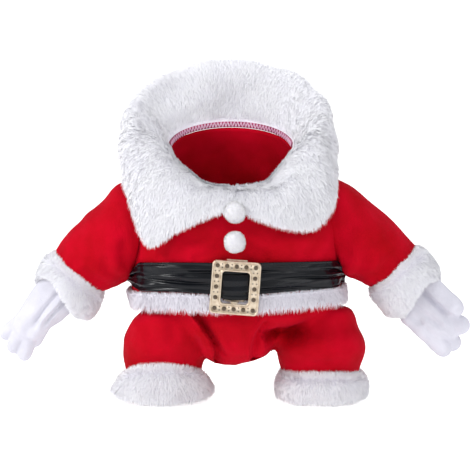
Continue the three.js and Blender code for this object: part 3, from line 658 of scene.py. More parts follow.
@dataclass
class Piece:
    """A finished piece: its object and what the frame is told about it."""

    obj: bpy.types.Object
    slot: Slot
    nodes: tuple[str, ...] = ()

    def declare(self, finish: Finish | None = None) -> bpy.types.Object:
        """Dresses the object, makes it ride on the suit's one body and hides what it replaces."""
        if finish is not None:
            self.obj.data.materials.clear()
            self.obj.data.materials.append(finish.material())
        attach(self.obj, "root")
        if self.nodes:
            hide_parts(*self.nodes)
        return self.obj


def declare_plush(pad: bpy.types.Object, pile: bpy.types.Object, node: str) -> None:
    """Dresses and declares a plush pad that replaces one node, and its pile, which is dressed already."""
    Piece(pad, Slot.PLUSH, (node,)).declare(PLUSH_BACKING)
    Piece(pile, Slot.PLUSH).declare()


def baked(obj: bpy.types.Object, name: str) -> bpy.types.Object:
    """Turns what an object's modifiers make into a plain mesh of its own, and removes the object.

    Args:
        obj: The object with its modifiers.
        name: The new object's name.

    Returns:
        The plain object.
    """
    bpy.context.view_layer.update()
    shown = obj.evaluated_get(bpy.context.evaluated_depsgraph_get())
    mesh = bpy.data.meshes.new_from_object(shown)
    bpy.data.objects.remove(obj)
    mesh.name = name
    return placed_object(name, mesh)


def remeshed(forms: Sequence[Form], voxel: float, smoothing: int, name: str) -> bpy.types.Object:
    """Fuses closed forms that overlap into one even skin.

    Args:
        forms: Each form's points and faces.
        voxel: The new faces' size in millimetres.
        smoothing: How many times the skin is smoothed.
        name: The new object's name.

    Returns:
        The fused object.
    """
    obj = make_mesh(f"{name}_forms", *joined(forms), closed=False)
    fuse = obj.modifiers.new("fuse", "REMESH")
    fuse.mode = "VOXEL"
    fuse.voxel_size = voxel * MM
    fuse.use_smooth_shade = True
    ease = obj.modifiers.new("ease", "SMOOTH")
    ease.factor = 0.5
    ease.iterations = smoothing
    return baked(obj, name)


class GrowthTree:
    """A Geometry Nodes tree that plants one small form on many points of an object.

    A subclass names the tree and its inputs, and says what the planting node gets.
    """

    TITLE = ""
    INPUTS: dict[str, str] = {}
    SMOOTH = False

    def __init__(self) -> None:
        """Builds the tree, which ends in Realize Instances and Set Material."""
        self.tree = bpy.data.node_groups.new(self.TITLE, "GeometryNodeTree")
        face = self.tree.interface
        kinds = {"Geometry": "Geometry", **self.INPUTS, "Material": "Material"}
        self.ids = {title: face.new_socket(title, in_out="INPUT", socket_type=f"NodeSocket{kind}").identifier
                    for title, kind in kinds.items()}
        face.new_socket("Geometry", in_out="OUTPUT", socket_type="NodeSocketGeometry")
        self.given = self.tree.nodes.new("NodeGroupInput").outputs
        grown = self.add("GeometryNodeInstanceOnPoints", self.planting()).outputs["Instances"]
        grown = self.add("GeometryNodeRealizeInstances", {"Geometry": grown}).outputs["Geometry"]
        if self.SMOOTH:
            grown = self.add("GeometryNodeSetShadeSmooth", {"Geometry": grown}).outputs["Geometry"]
        paint = self.add("GeometryNodeSetMaterial", {"Geometry": grown, "Material": self.given["Material"]})
        self.add("NodeGroupOutput", {"Geometry": paint.outputs["Geometry"]})

    def planting(self) -> Feeds:
        """Adds the subclass's nodes and returns what the planting node gets."""
        raise NotImplementedError

    def add(self, kind: str, feeds: Feeds | None = None, **settings: object) -> bpy.types.Node:
        """Adds a node to the tree, with its inputs and its properties."""
        return add(self.tree, kind, feeds, **settings)

    def math(self, operation: str, *values: object) -> bpy.types.NodeSocket:
        """Adds a math node and returns its output."""
        return self.add("ShaderNodeMath", dict(enumerate(values)), operation=operation).outputs[0]

    def vector(self, operation: str, first: object, second: object) -> bpy.types.NodeSocket:
        """Adds a vector math node and returns its output."""
        feeds = {0: first, "Scale" if operation == "SCALE" else 1: second}
        return self.add("ShaderNodeVectorMath", feeds, operation=operation).outputs["Vector"]

    def named(self, name: str, kind: str = "FLOAT") -> bpy.types.NodeSocket:
        """Reads one of the object's attributes."""
        node = self.add("GeometryNodeInputNamedAttribute", {"Name": name}, data_type=kind)
        return node.outputs["Attribute"]

    def stored(self, geometry: object, name: str, value: object, kind: str = "FLOAT") -> bpy.types.NodeSocket:
        """Stores an attribute on points and returns their geometry."""
        feeds = {"Geometry": geometry, "Name": name, "Value": value}
        return self.add("GeometryNodeStoreNamedAttribute", feeds, data_type=kind,
                        domain="POINT").outputs["Geometry"]

    def position(self) -> bpy.types.NodeSocket:
        """Reads the points' own places."""
        return self.add("GeometryNodeInputPosition").outputs[0]

    def aimed(self, along: object, towards: object, axis: tuple[int, int, int],
              angle: object) -> bpy.types.NodeSocket:
        """Gives the rotation that lays Z along one direction and Y towards another, then turns on an axis.

        Args:
            along: Where Z goes.
            towards: The side that Y is turned to.
            axis: The axis of the last turn, in the form's own directions.
            angle: The last turn's angle.

        Returns:
            The rotation's socket.
        """
        align = "FunctionNodeAlignRotationToVector"
        point = self.add(align, {"Vector": along}, axis="Z", pivot_axis="AUTO").outputs["Rotation"]
        turn = self.add(align, {"Rotation": point, "Vector": towards}, axis="Y", pivot_axis="Z")
        spin = self.add("FunctionNodeAxisAngleToRotation", {"Axis": axis, "Angle": angle})
        feeds = {"Rotation": turn.outputs["Rotation"], "Rotate By": spin.outputs["Rotation"]}
        return self.add("FunctionNodeRotateRotation", feeds, rotation_space="LOCAL").outputs["Rotation"]

    def combined(self, x: object, y: object, z: object) -> bpy.types.NodeSocket:
        """Makes a vector of three values."""
        return self.add("ShaderNodeCombineXYZ", {0: x, 1: y, 2: z}).outputs["Vector"]

    def grown(self, host: bpy.types.Object, name: str, values: dict[str, object]) -> bpy.types.Object:
        """Grows the tree's forms on an object, which it uses up.

        Args:
            host: The object that gets them.
            name: The new object's name.
            values: The tree's inputs, by title.

        Returns:
            The forms as a plain mesh.
        """
        growth = host.modifiers.new("growth", "NODES")
        growth.node_group = self.tree
        for title, value in values.items():
            growth[self.ids[title]] = value
        return baked(host, name)


@dataclass(frozen=True)
class Pile:
    """How one pad is planted. Lengths are in millimetres and the density in blades a square one."""

    density: float = 2.2
    length: float = 5.4
    width: float = 0.62
    lean: float = 1.35
    clump: float = 0.7
    clump_size: float = 6.0
    ruffle: float = 0.2
    bend: float = 0.25
    seed: int = 1


class Pads(GrowthTree):
    """Plants blades of pile on pads, with one tree for all of them.

    A pad's points carry where it grows, how long it is and which way it is combed, in the
    attributes pile_share, pile_length and comb.
    """

    TITLE = "planted pile"
    INPUTS = {"Density": "Float", "Length": "Float", "Width": "Float", "Lean": "Float", "Clump": "Float",
              "Clump Scale": "Float", "Ruffle": "Float", "Bend": "Float", "Seed": "Int"}
    SMOOTH = True

    def random(self, low: object, high: object, salt: int, kind: str = "FLOAT") -> bpy.types.NodeSocket:
        """Adds a random value for each blade, with its own salt on the tree's seed."""
        node = self.add("FunctionNodeRandomValue", data_type=kind)
        ends = [s for s in node.inputs if s.enabled and s.name in ("Min", "Max")]
        for end, value in zip(ends, (low, high)):
            end.default_value = value
        feed(self.tree, node.inputs["Seed"], self.math("ADD", self.given["Seed"], float(salt)))
        return next(s for s in node.outputs if s.enabled)

    def blade(self) -> bpy.types.NodeSocket:
        """Builds one blade, a metre long with its root at the origin, that narrows and bends to its tip."""
        sheet = self.add("GeometryNodeMeshGrid",
                         {"Size X": 1.0, "Size Y": 1.0, "Vertices X": 2, "Vertices Y": 3})
        split = self.add("ShaderNodeSeparateXYZ", {0: self.position()}).outputs
        along = self.math("ADD", split["Y"], 0.5)
        squared = self.math("MULTIPLY", along, along)
        across = self.math("MULTIPLY", split["X"], self.math("SUBTRACT", 1.0, squared))
        spot = self.combined(across, self.math("MULTIPLY", squared, self.given["Bend"]), along)
        # strand runs from 0 at a blade's root to 1 at its tip; the pile's material paints shade at the roots
        # by it.
        strand = self.stored(sheet.outputs["Mesh"], "strand", along)
        shape = self.add("GeometryNodeSetPosition", {"Geometry": strand, "Position": spot})
        shaped = shape.outputs["Geometry"]
        close = self.add("GeometryNodeMergeByDistance", {"Geometry": shaped, "Distance": 0.0001})
        return close.outputs["Geometry"]

    def planting(self) -> Feeds:
        """Scatters the roots and combs, clumps and ruffles the blades."""
        given = self.given
        density = self.math("MULTIPLY", given["Density"], self.named("pile_share"))
        scatter = self.add("GeometryNodeDistributePointsOnFaces",
                           {"Mesh": given["Geometry"], "Density": density, "Seed": given["Seed"]},
                           distribute_method="RANDOM").outputs
        swirl = self.add("ShaderNodeTexNoise",
                         {"Vector": self.position(), "Scale": given["Clump Scale"], "Detail": 1.0})
        pulled = self.vector("SUBTRACT", swirl.outputs["Color"], (0.5, 0.5, 0.5))
        pulled = self.vector("SCALE", pulled, given["Clump"])
        combed = self.vector("SCALE", self.named("comb", "FLOAT_VECTOR"), given["Lean"])
        loose = self.random((-1, -1, -1), (1, 1, 1), 11, "FLOAT_VECTOR")
        loose = self.vector("SCALE", loose, given["Ruffle"])
        out = scatter["Normal"]
        direction = self.vector("ADD", self.vector("ADD", out, combed), self.vector("ADD", pulled, loose))
        spread = self.random(-0.9, 0.9, 23)
        length = self.math("MULTIPLY", given["Length"], self.random(0.6, 1.25, 37))
        length = self.math("MULTIPLY", length, self.named("pile_length"))
        return {"Points": self.stored(scatter["Points"], "skin", out, "FLOAT_VECTOR"),
                "Instance": self.blade(),
                "Rotation": self.aimed(direction, self.vector("SCALE", out, -1.0), (0, 0, 1), spread),
                "Scale": self.combined(given["Width"], length, length)}

    @staticmethod
    def mark(pad: bpy.types.Object, share: np.ndarray, length: np.ndarray, comb: np.ndarray) -> None:
        """Stores where the pile grows on a pad, how long it is and which way it is combed."""
        attributes = pad.data.attributes
        for name, kind, key, values in (("pile_share", "FLOAT", "value", share),
                                        ("pile_length", "FLOAT", "value", length),
                                        ("comb", "FLOAT_VECTOR", "vector", comb)):
            attribute = attributes.get(name) or attributes.new(name, kind, "POINT")
            attribute.data.foreach_set(key, np.asarray(values, float).ravel())

    def plant(self, pad: bpy.types.Object, name: str, pile: Pile,
              finish: PileFinish = WHITE_PILE) -> bpy.types.Object:
        """Plants one marked pad.

        Args:
            pad: The marked pad, which is kept as it is.
            name: The pile's name.
            pile: How it is planted.
            finish: What the blades are made of.

        Returns:
            The pile as a plain mesh.
        """
        host = placed_object(name, pad.data.copy())
        return self.grown(host, name, {
            "Density": pile.density / MM**2, "Length": pile.length * MM, "Width": pile.width * MM,
            "Lean": pile.lean, "Clump": pile.clump, "Clump Scale": 1 / (pile.clump_size * MM),
            "Ruffle": pile.ruffle, "Bend": pile.bend, "Seed": pile.seed, "Material": finish.material()})


@dataclass
class Jacket:
    """The jacket's front and back, and the surface that the other pieces are laid on."""

    thickness: float = 1.6
    hem: float = 90.5
    armhole_foot: float = 134.0
    armhole_top: float = 190.0
    armhole_depth: float = 31.0
    columns: int = 150
    seam_tuck: float = 0.2
    seam_width: float = 1.7
    panel_width: float = 250.0

    SHAPE = Profile("height halfWidth halfDepth shift tilt left right square", (
        (84, 89.5, 62.4, 3, 0, -4.5, -0.5, 2.4),
        (94, 90.5, 62.8, 2.5, 0, -4.5, -0.5, 2.4),
        (104, 92.4, 63, 0.5, 0, -4.5, -1, 2.4),
        (130, 92.6, 63, 0, 0, -5, -3, 2.5),
        (150, 93.5, 64.5, 0, 0, -2, -1, 2.6),
        (168, 92, 63.5, -1, 1, 0, 0, 2.6),
        (184, 85, 60, -2, 4, 1, 1, 2.5),
        (197, 72, 53, -3, 13, 2, 2, 2.3),
        (207, 63, 47, -4, 19, 3, 3, 2.1),
        (215.5, 56.4, 43, -4.3, 23.8, 3.5, 3.5, 2),
    ))
    FRONT_CREASES = (
        Crease(((-62, 160), (-40, 151), (-12, 147), (14, 148)), 1.8, 7.0),
        Crease(((-84, 176), (-66, 164), (-52, 150)), 1.5, 6.0),
        Crease(((88, 178), (70, 166), (48, 158), (22, 160)), 1.6, 7.5),
        Crease(((-40, 133), (-22, 139), (-8, 146)), 1.3, 4.5, fade_in=0.1),
        Crease(((30, 133), (20, 141), (6, 150)), 1.2, 4.5, fade_in=0.1),
        Crease(((-70, 132), (-62, 142), (-58, 153)), 1.3, 4.0, fade_in=0.1),
        Crease(((62, 133), (68, 146), (72, 158)), 1.4, 5.0, fade_in=0.1),
        Crease(((84, 136), (66, 141), (44, 140)), 1.2, 5.0, fade_in=0.1),
        Crease(((-86, 140), (-72, 150), (-50, 168)), 1.2, 6.0, fade_in=0.1),
        Crease(((0, 166), (8, 160), (22, 150), (34, 146)), 1.0, 5.0),
    )
    BACK_CREASES = (
        Crease(((-70, 172), (-40, 160), (-6, 156), (34, 162)), 1.8, 7.5, Facing.BACK),
        Crease(((80, 180), (58, 168), (30, 150)), 1.5, 6.5, Facing.BACK),
        Crease(((-50, 133), (-42, 144), (-24, 152)), 1.3, 4.5, Facing.BACK, fade_in=0.1),
        Crease(((10, 133), (16, 146), (12, 156)), 1.3, 4.5, Facing.BACK, fade_in=0.1),
        Crease(((58, 133), (50, 146), (54, 156)), 1.4, 5.0, Facing.BACK, fade_in=0.1),
        Crease(((-80, 138), (-66, 148), (-56, 164)), 1.2, 5.5, Facing.BACK, fade_in=0.1),
        Crease(((-30, 205), (-22, 190), (-26, 174)), 1.2, 5.5, Facing.BACK),
        Crease(((26, 206), (32, 192), (24, 178)), 1.2, 5.5, Facing.BACK),
    )

    def point(self, angle: np.ndarray, height: np.ndarray, out: np.ndarray | float = 0.0) -> Grid:
        """Gives points on the jacket's outside.

        Args:
            angle: Turns round the jacket in radians: 0 is the right side and a quarter turn the back.
            height: Heights before the neck's tilt.
            out: How far outside the surface.

        Returns:
            The points, in the arguments' shape with three numbers each.
        """
        read = self.SHAPE.at
        power = 2 / read("square", height)
        cos, sin = np.cos(angle), np.sin(angle)
        x = (read("halfWidth", height) + out) * signed_power(cos, power) + read("shift", height)
        y = (read("halfDepth", height) + out) * signed_power(sin, power)
        lift = np.where(cos < 0, read("left", height), read("right", height))
        z = height + read("tilt", height) * sin + lift * cos**2
        return np.stack([x, y, z + 0 * x], axis=-1)

    def front_at(self, height: float) -> float:
        """Gives how far forward the front lies on its middle line."""
        return float(self.point(np.array(-math.pi / 2), np.array(height))[1])

    def reach(self, points: np.ndarray) -> np.ndarray:
        """Gives where points lie across the jacket: 1 on its surface, less inside and more outside."""
        height = points[..., 2].copy()
        read = self.SHAPE.at
        for _ in range(4):
            across = (points[..., 0] - read("shift", height)) / read("halfWidth", height)
            deep = points[..., 1] / read("halfDepth", height)
            square = read("square", height)
            cos = signed_power(np.clip(across, -1.4, 1.4), square / 2)
            sin = signed_power(np.clip(deep, -1.4, 1.4), square / 2)
            length = np.maximum(np.hypot(cos, sin), 1e-6)
            cos, sin = cos / length, sin / length
            lift = np.where(cos < 0, read("left", height), read("right", height))
            height = points[..., 2] - read("tilt", height) * sin - lift * cos**2
        square = read("square", height)
        ratio = (np.abs(across) ** square + np.abs(deep) ** square) ** (1 / square)
        return np.where(height > NECK_HEIGHT, 9.0, ratio)

    def rows(self) -> tuple[np.ndarray, np.ndarray]:
        """Gives the panels' row heights and how far the armhole is open at each."""
        below = np.linspace(self.hem, 131, 26)
        turn = np.linspace(0, math.pi, 26)
        middle = (self.armhole_top + self.armhole_foot) / 2
        half = (self.armhole_top - self.armhole_foot) / 2
        above = np.linspace(192.5, NECK_HEIGHT, 13)
        heights = np.concatenate([below, middle - half * np.cos(turn), above])
        opening = self.armhole_depth * np.sin(turn)
        return heights, np.concatenate([0 * below, opening, 0 * above])

    def panel(self, facing: Facing) -> bpy.types.Object:
        """Builds the front or the back as a thin wall with its creases."""
        heights, opening = self.rows()
        depth = self.SHAPE.at("halfDepth", heights)
        square = self.SHAPE.at("square", heights)
        start = np.arcsin(np.clip((opening + SEAM_GAP / 2) / depth, 0, 1) ** (square / 2))
        share = np.linspace(0, 1, self.columns)[None, :]
        angle = (start[:, None] + (math.pi - 2 * start[:, None]) * share) * facing.value
        height = np.broadcast_to(heights[:, None], angle.shape)
        grid = self.point(angle, height)
        normals = grid_normals(grid) * facing.value
        from_seam = np.minimum(share, 1 - share) * self.panel_width
        grid = grid - normals * (self.seam_tuck * bell(from_seam, self.seam_width))[..., None]
        creases = self.FRONT_CREASES if facing is Facing.FRONT else self.BACK_CREASES
        grid = creased(grid, normals, creases)
        free = smooth_step((height - 130) / 12) * smooth_step((NECK_HEIGHT - height) / 14)
        soft = undulation(grid, 46, 4) * 0.9 + undulation(grid, 17, 9) * 0.25
        grid = grid + normals * (free * soft - 0.4)[..., None]
        inner = grid - grid_normals(grid) * facing.value * self.thickness
        return make_shell(f"jacket_{facing.name.lower()}_panel", grid, inner, False)

    def build(self) -> None:
        """Builds both panels."""
        for facing, area in ((Facing.FRONT, 0.0285), (Facing.BACK, 0.0335)):
            word = facing.name.lower()
            nodes = tuple(f"jacket_{word}_{side}" for side in ("left", "right"))
            obj = Piece(self.panel(facing), Slot.VELOUR, nodes).declare(RED_VELOUR)


ARM_COLUMNS = "t upX upZ lowX lowZ halfDepth"


def arm_surface(shape: Profile, t: np.ndarray, angle: np.ndarray) -> Grid:
    """Gives points on an arm's tube: an angle of 0 is its upper line, seen from the front."""
    read = shape.at
    up = np.stack([read("upX", t), 0 * t + SIDE_SEAM_DEPTH, read("upZ", t)], axis=-1)
    low = np.stack([read("lowX", t), 0 * t + SIDE_SEAM_DEPTH, read("lowZ", t)], axis=-1)
    centre, half = (up + low) / 2, (up - low) / 2
    grid = centre + half * np.cos(angle)[..., None]
    grid[..., 1] += read("halfDepth", t) * np.sin(angle)
    return grid


@dataclass
class FalseArm:
    """A false arm: its sleeve, its plush cuff and its glove."""

    side: str
    jacket: Jacket
    pads: Pads
    around: int = 108
    along: int = 64
    thickness: float = 1.6
    pad_inset: float = 2.0
    pad_thickness: float = 2.4
    sleeve_length: float = 85.0
    glove_voxel: float = 1.2
    glove_smoothing: int = 5

    CUFF_CUTS = {"left": 0.5, "right": 0.34}

    SLEEVES = {
        "left": Profile(ARM_COLUMNS, (
            (0, -58, 190, -70, 136, 29), (1, -80, 198, -86, 120, 35), (2, -101, 194, -93, 110.5, 38),
            (3, -119, 177.5, -100, 106.5, 38), (4, -144.5, 154, -108, 102, 34),
            (5, -160.5, 133, -117.5, 97.9, 27.5),
        )),
        "right": Profile(ARM_COLUMNS, (
            (0, 52, 190, 70, 140, 29), (1, 76, 198, 87, 124, 35), (2, 98, 194, 95.5, 114.5, 38),
            (3, 117.5, 178.5, 103, 110.5, 38), (4, 142, 156, 111, 106.5, 34),
            (5, 158.8, 137.5, 119.2, 102, 27.5),
        )),
    }
    CUFFS = {
        "left": Profile(ARM_COLUMNS, (
            (0, -161.7, 135.4, -114.9, 97.2, 30), (1, -170, 127.5, -118.3, 88.5, 34),
            (2, -176.5, 117.5, -121.3, 80.3, 35), (3, -178, 107.5, -128.5, 73.5, 31),
            (4, -174.5, 99.5, -141, 75.5, 24),
        )),
        "right": Profile(ARM_COLUMNS, (
            (0, 160.2, 140.1, 116, 101.1, 30), (1, 170.5, 133.5, 119, 92.5, 34),
            (2, 178.5, 122, 125, 84, 35), (3, 181, 109.5, 133.5, 76, 31),
            (4, 177.5, 101, 146, 73, 24),
        )),
    }
    SLEEVE_CREASES = {
        "left": (
            Crease(((-100, 108), (-112, 120), (-116, 138)), 2.2, 5.5, fade_in=0.05),
            Crease(((-104, 104), (-124, 112), (-136, 124)), 1.6, 5.0, fade_in=0.05),
            Crease(((-96, 190), (-104, 172), (-100, 150)), 1.6, 8.0),
            Crease(((-94, 118), (-100, 134), (-96, 152)), 1.5, 5.0),
            Crease(((-142, 152), (-128, 138), (-120, 118)), 1.4, 6.0),
            Crease(((-98, 110), (-112, 124), (-112, 146)), 2.0, 6.0, Facing.BACK, fade_in=0.05),
            Crease(((-98, 188), (-110, 168), (-104, 150)), 1.6, 7.0, Facing.BACK),
            Crease(((-140, 150), (-124, 134), (-118, 116)), 1.5, 6.0, Facing.BACK),
        ),
        "right": (
            Crease(((103, 112), (112, 124), (114, 146)), 2.2, 5.5, fade_in=0.05),
            Crease(((106, 109), (124, 118), (138, 134)), 1.8, 5.0, fade_in=0.05),
            Crease(((98, 190), (106, 174), (102, 152)), 1.6, 8.0),
            Crease(((140, 152), (126, 142), (112, 140)), 1.6, 5.5),
            Crease(((100, 112), (114, 128), (114, 150)), 2.0, 6.0, Facing.BACK, fade_in=0.05),
            Crease(((100, 188), (112, 168), (104, 150)), 1.6, 7.0, Facing.BACK),
            Crease(((142, 150), (126, 136), (120, 118)), 1.5, 6.0, Facing.BACK),
        ),
    }
    # Each lobe: from x and h, to x and h, depth y, radius at root and tip, and flatness.
    GLOVES = {
        "left": (
            (-152.5, 101.5, -181.5, 70, -5, 21.5, 15, 0.75), (-183, 77, -203, 60.5, 2, 8, 6, 0.9),
            (-183, 71.5, -195.5, 50, -2, 8, 6.5, 0.9), (-179, 67.5, -186.5, 43, -3, 8, 6.3, 0.9),
            (-169, 71.5, -176.5, 55, 0, 8, 6, 0.9), (-149, 92, -178.5, 62.5, -13, 7, 5, 0.9),
        ),
        "right": (
            (156, 98, 180, 69, -2, 18.5, 18, 0.6), (171, 105, 192, 85, -11, 8, 8.5, 0.9),
            (165, 87, 197, 68.5, -4, 8.5, 8.5, 0.9), (173, 74.5, 190.5, 53, 2, 9, 8, 0.9),
            (153, 77, 182.5, 48, -4, 8.5, 7.5, 0.9),
        ),
    }
    GLOVE_CREASES = {
        "left": (
            Crease(((-151, 104), (-163.5, 90), (-172.5, 78.5), (-180, 66)), 3.0, 2.4, lip=0.5, bias=0.9,
                   fade_in=0.05),
            Crease(((-147, 94), (-157.5, 85), (-165.5, 75.5), (-172.5, 66)), 1.8, 1.5, lip=0.4, fade_in=0.1),
            Crease(((-176, 92), (-190, 74), (-196, 62)), 1.0, 3.0),
        ),
        "right": (
            Crease(((162, 103), (172, 93), (184, 82), (195, 75)), 2.6, 2.8, fade_in=0.05),
            Crease(((152, 90), (164, 80), (178, 70), (188, 62)), 2.2, 2.8, fade_in=0.1),
            Crease(((150, 82), (158, 76), (166, 70)), 1.6, 4.0, fade_in=0.1),
            Crease(((176, 64), (184, 58), (188, 52)), 1.0, 2.2),
        ),
    }

    def sleeve(self) -> bpy.types.Object:
        """Builds the sleeve from the jacket's surface to the cuff."""
        shape = self.SLEEVES[self.side]
        angle = once_round(self.around)
        probe = np.linspace(0, 4, 240)
        tt, aa = np.meshgrid(probe, angle, indexing="ij")
        inside = self.jacket.reach(arm_surface(shape, tt, aa)) < 1.0 - 0.2 / 60
        start = np.array([probe[line].max() if line.any() else 0.0 for line in inside.T])
        start = np.convolve(np.r_[start[-2:], start, start[:2]], SMOOTHING, mode="valid")
        share = np.linspace(0, 1, self.along)[:, None]
        t = start[None, :] + (shape.last - start[None, :]) * share
        grid = arm_surface(shape, t, np.broadcast_to(angle, t.shape))
        normals = ring_normals(grid)
        tuck = self.jacket.seam_tuck * bell(share * self.sleeve_length, self.jacket.seam_width)
        gather = np.sin(17 * angle + 1.6 * np.sin(3 * angle)) * (0.6 + 0.4 * np.sin(5 * angle + 1))
        drawn = smooth_step((share - 0.72) / 0.28) * (0.7 * gather[None, :] - 0.4)
        grid = creased(grid, normals, self.SLEEVE_CREASES[self.side])
        soft = undulation(grid, 40, 12) * 0.9 + undulation(grid, 15, 3) * 0.25
        free = smooth_step(share / 0.12)
        grid = grid + normals * (free * soft + drawn - tuck)[..., None]
        return make_shell(f"sleeve_{self.side}_cloth", grid, grid - ring_normals(grid) * self.thickness, True)

    def cuff(self) -> tuple[bpy.types.Object, bpy.types.Object]:
        """Builds the cuff's pad and its pile."""
        seed = 31 if self.side == "left" else 32
        pile = Pile(density=2.6, length=3.6, width=0.55, lean=1.2, clump=0.5, seed=seed)
        return ring_pad(self.pads, f"arm_cuff_{self.side}", self.CUFFS[self.side], arm_surface, pile,
                        self.pad_inset, self.pad_thickness, cut=self.CUFF_CUTS[self.side])

    def glove(self) -> bpy.types.Object:
        """Builds the glove: its lobes fused into one stuffed skin, with the creases between them."""
        lobes = [lobe_form(row) for row in self.GLOVES[self.side]]
        skin = remeshed(lobes, self.glove_voxel, self.glove_smoothing, f"glove_{self.side}_fleece")
        flat = mesh_points(skin)
        normals = mesh_normals(skin)
        offset = 0.45 + undulation(flat, 16, 21) * 0.35
        for crease in self.GLOVE_CREASES[self.side]:
            offset = offset + crease.offsets(flat)
        move_points(skin, flat + normals * offset[:, None])
        return skin

    def build(self) -> None:
        """Builds the arm's three pieces."""
        sleeve = Piece(self.sleeve(), Slot.VELOUR, (f"sleeve_{self.side}",)).declare(RED_VELOUR)
        pad, pile = self.cuff()
        declare_plush(pad, pile, f"arm_cuff_{self.side}")
        glove = Piece(self.glove(), Slot.FLEECE, (f"glove_{self.side}",)).declare(WHITE_FLEECE)


def lobe_form(row: Sequence[float]) -> Form:
    """Gives one closed lobe of a glove, a capsule that may narrow to its tip."""
    from_x, from_h, to_x, to_h, y, root, tip, flat = row
    start, end = np.array([from_x, y, from_h]), np.array([to_x, y, to_h])
    along = (end - start) / np.linalg.norm(end - start)
    across = np.cross(along, [0, 1, 0])
    turns = np.radians([-88, -70, -50, -30, -12, 0])
    angle = once_round(28)[:, None]
    rings = []
    for centre, radius, turn in [(start, root, t) for t in turns] + [(end, tip, -t) for t in turns[::-1]]:
        r = radius * math.cos(turn)
        ring = centre + along * radius * math.sin(turn) + across * r * np.cos(angle)
        rings.append(ring + np.array([0, 1, 0]) * r * flat * np.sin(angle))
    return capped(np.stack(rings))


def stacked_surface(shape: Profile, height: np.ndarray, angle: np.ndarray) -> Grid:
    """Gives points on a leg's or cuff's rounded sections, which stand one above another."""
    read = shape.at
    power = 2 / LEG_SQUARE
    x = read("halfWidth", height) * signed_power(np.cos(angle), power) + read("shift", height)
    y = read("halfDepth", height) * signed_power(np.sin(angle), power) + read("back", height)
    return np.stack([x, y, height + 0 * x], axis=-1)


def ring_pad(pads: Pads, name: str, shape: Profile,
             surface: Callable[[Profile, np.ndarray, np.ndarray], Grid], pile: Pile, inset: float,
             thickness: float, flip: bool = False, arch: float = 0.0, cut: float = 0.0, droop: float = 0.0,
             corner: float = 0.0) -> tuple[bpy.types.Object, bpy.types.Object]:
    """Builds a plush cuff: a soft closed ring inside the solid's surface, planted with pile.

    Args:
        pads: What plants it.
        name: The cuff's name.
        shape: Its table of sections.
        surface: Gives points from the table, a place along it and an angle.
        pile: How it is planted.
        inset: How deep the pad's outside lies under the solid's surface.
        thickness: The pad's thickness.
        flip: Whether the pile runs from the table's end to its start.
        arch: How much higher the table's end reaches over the cloth in front.
        cut: Share of the table's end that is left open in front, where a glove comes out.
        droop: How much lower the table's end lies at the sides.
        corner: How much higher its start lies there.

    Returns:
        The pad and the pile.
    """
    around, section, fine_rows = 96, 104, 80
    # The cut for a glove: how far it lies from the arm's upper line, towards the front, and its width.
    opening_turn, opening_width, most_swell = 0.30 * math.pi, 0.3 * math.pi, 3.4
    span = shape.last - shape.first
    round_end = 0.5 * thickness
    turn = once_round(section)
    cos, sin = np.cos(turn), np.sin(turn)
    along = np.clip(0.5 + 0.5 * signed_power(cos, 0.35), 0.0, 1.0)
    level = signed_power(sin, 0.35)
    t = shape.first + span * (0.03 + 0.94 * along)
    depth = inset + round_end - round_end * level
    angle = once_round(around)
    tt, aa = np.meshgrid(t, angle, indexing="ij")
    from_opening = np.abs((aa + opening_turn + math.pi) % (2 * math.pi) - math.pi)
    tt = tt - cut * span * along[:, None] ** 2 * bell(from_opening, opening_width)
    fine = np.linspace(shape.first, shape.last, fine_rows)
    ff, fa = np.meshgrid(fine, angle, indexing="ij")
    reference = surface(shape, ff, fa)
    reference_normals = ring_normals(reference)
    row = np.clip(((t - shape.first) / span * (fine_rows - 1)).round().astype(int), 0, fine_rows - 1)
    normals = reference_normals[row]
    flow = unit(np.gradient(reference, axis=0)[row])
    if flip:
        flow = -flow
    grid = surface(shape, tt, aa) - normals * depth[:, None, None]
    grid = grid + normals * (undulation(grid, 20, pile.seed) * 0.7)[..., None]
    over = smooth_step((along - 0.5) / 0.5)[:, None] * np.clip(-np.sin(angle), 0, 1)[None, :] ** 1.3
    grid = grid + normals * (over * min(arch, most_swell))[..., None]
    side = np.abs(np.cos(angle))[None, :] ** 3
    grid[..., 2] += over * arch + side * ((1 - along) * corner - along * droop)[:, None]
    pad = make_band(f"{name}_pad", grid)
    outside = smooth_step((level + 0.75) / 0.5)
    from_cloth = (1 - along if flip else along)[:, None]
    comb = flow * np.interp(from_cloth, (0.0, 0.1, 0.3), (-1.2, -0.3, 1.0))[..., None]
    share = np.broadcast_to((outside * (1 + 0.8 * (np.abs(cos) > 0.97)))[:, None], grid.shape[:2])
    length = np.broadcast_to(np.interp(from_cloth, (0, 0.1, 0.3, 1), (0.95, 0.8, 1, 1.05)), grid.shape[:2])
    pads.mark(pad, share, length, comb)
    return pad, pads.plant(pad, f"{name}_pile", pile)


